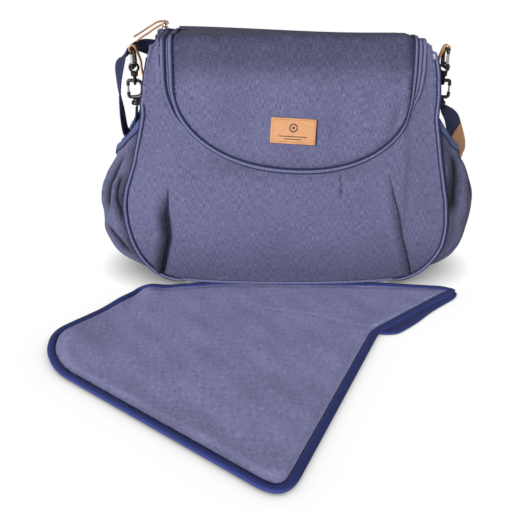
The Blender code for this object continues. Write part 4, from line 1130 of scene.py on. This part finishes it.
STRAP_ROUTE = [
    ((-0.1765, 0.000, 0.2014), (1, 0, 0)), ((-0.1785, 0.000, 0.1850), (1, 0, 0)),
    ((-0.1820, 0.000, 0.1725), (0.8, 0, -0.6)), ((-0.1880, 0.001, 0.1680), (0, 0, -1)),
    ((-0.1930, 0.003, 0.1740), (-0.9, 0, -0.4)), ((-0.1955, 0.007, 0.1950), (-1, 0, 0)),
    ((-0.1975, 0.012, 0.2220), (-0.95, -0.3, 0)), ((-0.1950, 0.018, 0.2480), (-0.8, -0.5, 0.2)),
    ((-0.1865, 0.028, 0.2590), (-0.8, 0.1, 0.6)), ((-0.1740, 0.045, 0.2630), (-0.3, 0.6, 0.8)),
    ((-0.1500, 0.059, 0.2540), (0, 1, 0.3)), ((-0.1150, 0.063, 0.2420), (0, 1, 0)),
    ((-0.0600, 0.0670, 0.2120), (0, 1, 0)), ((0.0000, 0.0735, 0.1660), (0, 1, 0)),
    ((0.0600, 0.0800, 0.1200), (0, 1, 0)), ((0.1150, 0.085, 0.0760), (0, 1, 0)),
    ((0.1600, 0.086, 0.0480), (0.2, 1, 0)), ((0.1950, 0.084, 0.0420), (0.6, 1, 0)),
    ((0.2180, 0.077, 0.0620), (1, 0.5, 0)), ((0.2260, 0.066, 0.0950), (1, 0, 0)),
    ((0.2220, 0.048, 0.1300), (0.8, -0.6, 0.1)), ((0.2090, 0.034, 0.1600), (0.6, -0.8, 0.1)),
    ((0.1950, 0.016, 0.1830), (0.6, -0.8, 0)), ((0.1830, 0.002, 0.1960), (0.8, -0.6, 0)),
    ((0.1765, 0.000, 0.2014), (1, 0, 0)),
]


def strap_frames(count):
    route = resample([(*place, *normal) for place, normal in STRAP_ROUTE], count)
    path = route[:, :3]
    along = unit(np.gradient(path, axis=0))
    across = unit(np.cross(along, route[:, 3:]))
    facing = np.cross(across, along)
    return path, across, facing


def make_strap():
    count = 420
    path, across, facing = strap_frames(count)
    share = np.minimum(1.0, np.minimum(np.arange(count), np.arange(count)[::-1]) / (5 * count / 84))
    widths = STRAP_END_WIDTH + (STRAP_WIDTH - STRAP_END_WIDTH) * ease(share)
    rings = strip_rings(path, across, facing, widths, STRAP_THICKNESS, 0.4)
    loft("shoulder_strap_webbing", rings, "webbing", "bag", ["shoulder_strap"])
    for edge in (-1, 1):
        for face in (-1, 1):
            rows = (path + across * (edge * (widths / 2 - 0.0022))[:, None] + facing * face * 0.0009)[6:-6]
            beads = 0.00030 + 0.00012 * np.sin(np.arange(len(rows)) * 2.1)
            tube(f"strap_stitches_{'in' if face < 0 else 'out'}_{'rear' if edge < 0 else 'front'}", rows,
                 beads,
                 "thread", "bag", sides=6, up=(0, 0, 1))
    first, last = round(count * 0.872), round(count * 0.928)
    patch = path[first:last] + facing[first:last] * (STRAP_THICKNESS / 2 + 0.0008)
    rings = strip_rings(patch, across[first:last], facing[first:last], STRAP_WIDTH - 0.003, 0.0013, 0.3)
    loft("strap_patch_leather", rings, "tan", "bag", ["strap_patch"])
    middle = int(np.argmin(np.abs(path[:, 0])))
    corners = [(-1, -1), (1, -1), (1, 1), (-1, 1)]
    ring = [
        path[middle] + across[middle] * a * (STRAP_WIDTH / 2 + 0.0028) + facing[middle] * b * 0.0030
        for a, b in corners
    ]
    loop = rounded_path([(ring[0] + ring[3]) / 2, *ring, (ring[0] + ring[3]) / 2], 0.0028, 6)
    closed_ring("strap_adjuster_ring", evened(loop, 60)[:-1], 0.0014, "black", "adjuster",
                ["strap_adjuster"])


def make_slider():
    x, y, z = -0.1409, 0.018, 0.2850
    length, width, height = 0.0115, 0.0074, 0.0030
    outline = []
    for t in np.linspace(0, 2 * pi, 40, endpoint=False):
        c, s = cos(t), sin(t)
        waist = 1 - 0.18 * (1 - abs(s)) ** 2
        outline.append((np.sign(c) * abs(c) ** 0.6 * width / 2 * waist,
                        np.sign(s) * abs(s) ** 0.7 * length / 2))
    outline = np.array(outline)
    rings = []
    for shrink, up in ((0.80, 0), (1, 0.0006), (1, 0.0011), (0.86, 0.0013), (0.86, 0.0017), (1, 0.0019),
                       (1, 0.0025), (0.85, height)):
        rings.append(np.column_stack([x + outline * shrink + (0, y - x), np.full(40, z + up)]))
    loft("zip_slider_body", rings, "silver", "slider", ["zip_slider"], smooth_angle=35)
    base = z + height + 0.0004
    angles = np.linspace(0, pi, 24)
    arch = triple(x, y + 0.0042 * np.cos(angles), base + 0.0007 + 0.0040 * np.sin(angles))
    tube("slider_bail_arch", arch, 0.0008, "silver", "slider", ["slider_bail"], 10)
    under, top = base + 0.0014, base + 0.0050
    thong = resample([
        (-0.1765, y - 0.004, 0.2770), (-0.1690, y - 0.002, 0.2812), (-0.1600, y, 0.2865),
        (-0.1500, y, 0.2922),
        (-0.1435, y, top), (x + 0.0015, y, top - 0.0002), (x + 0.0036, y, (under + top) / 2),
        (x + 0.0010, y, under),
        (-0.1440, y, under), (-0.1520, y - 0.001, 0.2860), (-0.1600, y - 0.002, 0.2808),
        (-0.1680, y - 0.004, 0.2762), (-0.1735, y - 0.006, 0.2722),
    ], 110)
    facing = unit(np.cross(np.gradient(thong, axis=0), (0, 1, 0)))
    across = np.broadcast_to((0.0, 1.0, 0.0), thong.shape)
    share = np.minimum(np.arange(110), np.arange(110)[::-1]) / 12
    widths = 0.0026 + 0.0022 * ease(share)
    loft("zip_pull_thong", strip_rings(thong, across, facing, widths, 0.0019, 0.4), "brown", "pull",
         ["zip_pull"])


# Changing mat

MAT_OUTLINE = [
    ((-0.252, -0.181), 0.018), ((-0.250, -0.215), 0.015), ((-0.233, -0.248), 0.020),
    ((-0.0145, -0.418), 0.030), ((0.092, -0.179), 0.006), ((0.200, -0.085), 0.008),
    ((0.183, -0.0765), 0.006), ((0.110, -0.0675), 0.010), ((-0.073, -0.0625), 0.010),
    ((-0.176, -0.0780), 0.008), ((-0.193, -0.1065), 0.010),
]
UNDER_OUTLINE = [
    ((0.045, -0.150), 0.004), ((0.097, -0.1775), 0.004), ((0.113, -0.1765), 0.015),
    ((0.1363, -0.156), 0.020), ((0.1604, -0.1285), 0.020), ((0.193, -0.0995), 0.010),
    ((0.200, -0.086), 0.006), ((0.150, -0.073), 0.006), ((0.060, -0.070), 0.004),
]


def outline_points(corners, count):
    """An outline with its corners rounded, as evenly spaced points."""
    points = []
    for i, (place, radius) in enumerate(corners):
        here = np.array(place)
        a, b = (np.array(corners[(i + k) % len(corners)][0]) - here for k in (-1, 1))
        la, lb = np.linalg.norm(a), np.linalg.norm(b)
        reach = min(radius, 0.45 * la, 0.45 * lb)
        points += [here + a / la * reach * (1 - t) ** 2 + b / lb * reach * t**2 for t in np.linspace(0, 1, 9)]
    return evened(np.array(points + [points[0]]), count + 1)[:-1]


def inward(outline, by):
    """The outline moved in; it runs anticlockwise."""
    along = unit(steps_round(outline))
    return outline + pair(-along[:, 1], along[:, 0]) * by


MAT_STEPS, MAT_WEAVE = 420, radians(-41)
# Draws the under layer's folds out along its edge
UNDER_TURN = np.array([[0.30, -0.80, 0], [0.36, 0.60, 0], [0, 0, 1]])


def make_mat_layer(name, corners, centre, low, thickness, look, seed):
    outline = outline_points(corners, MAT_STEPS)
    inner = inward(outline, 0.0085)
    shares = np.linspace(0.01, 1, 70)[:, None, None]
    flat_points = np.array(centre) + (inner[None] - np.array(centre)) * shares
    x, y = flat_points[..., 0], flat_points[..., 1]
    spot = triple(x, y, 0.0)
    edge = np.linalg.norm(inner[None] - flat_points, axis=-1)
    quilt = 0.0009 * ease(edge / 0.012) + 0.0007 * waves(spot, 0.09, seed) + 0.0003 * waves(spot, 0.035,
                                                                                            seed + 1)
    if name == "mat_upper":
        crease = ease((x + 0.060) / 0.05)
        quilt -= 0.0003 * crease * np.exp(-(crease_distance(x, y) / 0.0016) ** 2)
        quilt += 0.0001 * crease * np.exp(-((crease_distance(x, y) - 0.006) / 0.006) ** 2)
    else:
        quilt += 0.0004 * waves(spot @ UNDER_TURN, 0.022, seed + 2) - 0.0006
    top = low + thickness + quilt * ease(edge / 0.010)
    upper = triple(x, y, top + lift_at(name, x, y))
    lower = triple(x, y, low + lift_at(name, x, y))
    rings = np.concatenate([lower, upper[::-1]])
    cloth = loft(name + "_cloth", rings, look, "mat",
                 [name + "_panel"], smooth_angle=60)
    set_cloth_uv(cloth)
    binding_path = np.column_stack([inward(outline, 0.0036), np.full(MAT_STEPS, low + thickness / 2)])
    binding_path[:, 2] += lift_at(name, *binding_path[:, :2].T)
    ripple = 1 + 0.03 * np.sin(np.arange(MAT_STEPS) * 2 * pi * 60 / MAT_STEPS)
    side = unit(np.cross(steps_round(binding_path), (0, 0, 1)))
    angles = np.linspace(0, 2 * pi, 16, endpoint=False)
    rings = []
    for angle in angles:
        a = np.sign(cos(angle)) * abs(cos(angle)) ** 0.55 * 0.0042
        b = np.sign(sin(angle)) * abs(sin(angle)) ** 0.9 * (thickness / 2 + 0.0009)
        rings.append(binding_path + side * a + np.outer(b * ripple, (0, 0, 1)))
    binding = loft(name + "_binding_tape", np.stack(rings, 1), "navy", "mat",
                   [name + "_binding"],
                   closed=True)


def crease_distance(x, y):
    """How far a point of the mat is from the crease across it, negative on the near side."""
    line = np.array([(-0.040, -0.1265), (0.025, -0.145), (0.087, -0.174)])
    return y - np.interp(x, line[:, 0], line[:, 1])


def lift_at(name, x, y):
    """The left rear edge of the mat stands up in soft waves, and its front corner lies flat."""
    if name != "mat_upper":
        return 0 * x
    near = np.exp(-(((x + 0.185) / 0.030) ** 2) - ((y + 0.085) / 0.030) ** 2)
    wave = 0.5 + 0.5 * np.sin(x * 150)
    far = np.exp(-(((x + 0.235) / 0.030) ** 2) - ((y + 0.190) / 0.045) ** 2)
    return 0.0060 * near * wave + 0.0030 * far


def set_cloth_uv(obj):
    """Cloth coordinates straight down on the mat, turned to follow its weave."""
    mesh = obj.data
    turn = MAT_WEAVE
    for loop, uv in zip(mesh.loops, mesh.uv_layers[0].data):
        x, y, _ = mesh.vertices[loop.vertex_index].co
        uv.uv = (x * cos(turn) - y * sin(turn), x * sin(turn) + y * cos(turn))


def make_mat():
    make_mat_layer("mat_upper", MAT_OUTLINE, (-0.020, -0.200), 0.0018, 0.0026, "mat", 61)
    make_mat_layer("mat_under", UNDER_OUTLINE, (0.120, -0.118), 0.0004, 0.0008, "satin",
                   71)


def make_board():
    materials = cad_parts["base_board"].data.materials
    materials.clear()
    materials.append(LOOKS["board"])


# Studio

SUN_STRENGTH, SUN_DIRECTION = 3.9, (0.42, 0.80, -0.26)
# The sky's strength at the horizon and overhead
SKY_LOW, SKY_HIGH = 0.50, 0.06
CAMERA_PLACE, CAMERA_DOWN, CAMERA_LENS = (-0.036, -0.81, 0.40), radians(26), 48.9


def make_studio():
    mesh = bpy.data.meshes.new("studio_floor")
    reach = 6.0
    mesh.from_pydata([(x * reach, y * reach, 0) for x, y in ((-1, -1), (1, -1), (1, 1), (-1, 1))], [],
                     [(0, 1, 2, 3)])
    mesh.materials.append(floor_material())
    floor = placed("studio_floor", mesh)
    floor.location.z = -0.0004
    world = bpy.data.worlds.new("studio")
    bpy.context.scene.world = world
    world.use_nodes = True
    tree = world.node_tree
    where = tree.nodes.new("ShaderNodeTexCoord")
    split = tree.nodes.new("ShaderNodeSeparateXYZ")
    height = tree.nodes.new("ShaderNodeMapRange")
    height.inputs["To Min"].default_value, height.inputs["To Max"].default_value = SKY_LOW, SKY_HIGH
    tree.links.new(where.outputs["Generated"], split.inputs["Vector"])
    tree.links.new(split.outputs["Z"], height.inputs["Value"])
    tree.links.new(height.outputs["Result"], tree.nodes["Background"].inputs["Strength"])
    tree.nodes["Background"].inputs["Color"].default_value = (1, 1, 1, 1)
    data = bpy.data.lights.new("softbox", "SUN")
    data.energy, data.angle = SUN_STRENGTH, radians(24)
    sun = placed("softbox", data)
    sun.rotation_euler = Vector(SUN_DIRECTION).to_track_quat("-Z", "Y").to_euler()


def make_camera():
    data = bpy.data.cameras.new("camera")
    data.lens, data.sensor_width = CAMERA_LENS, 36
    camera = placed("camera", data)
    camera.location = CAMERA_PLACE
    camera.rotation_euler = (pi / 2 - CAMERA_DOWN, 0, 0)
    bpy.context.scene.camera = camera


def main():
    for make in (
        make_studio, make_camera, make_front, make_piping, make_gussets, make_back_and_base, make_lining,
        make_pockets, make_lid, make_lid_fold, make_label, make_zip,
    ):
        make()
    for side, name in SIDES:
        make_hook(side, name)
        make_loops(side, name)
    for make in (make_strap, make_slider, make_mat, make_board):
        make()
    bpy.context.scene.view_settings.view_transform = "Standard"


main()
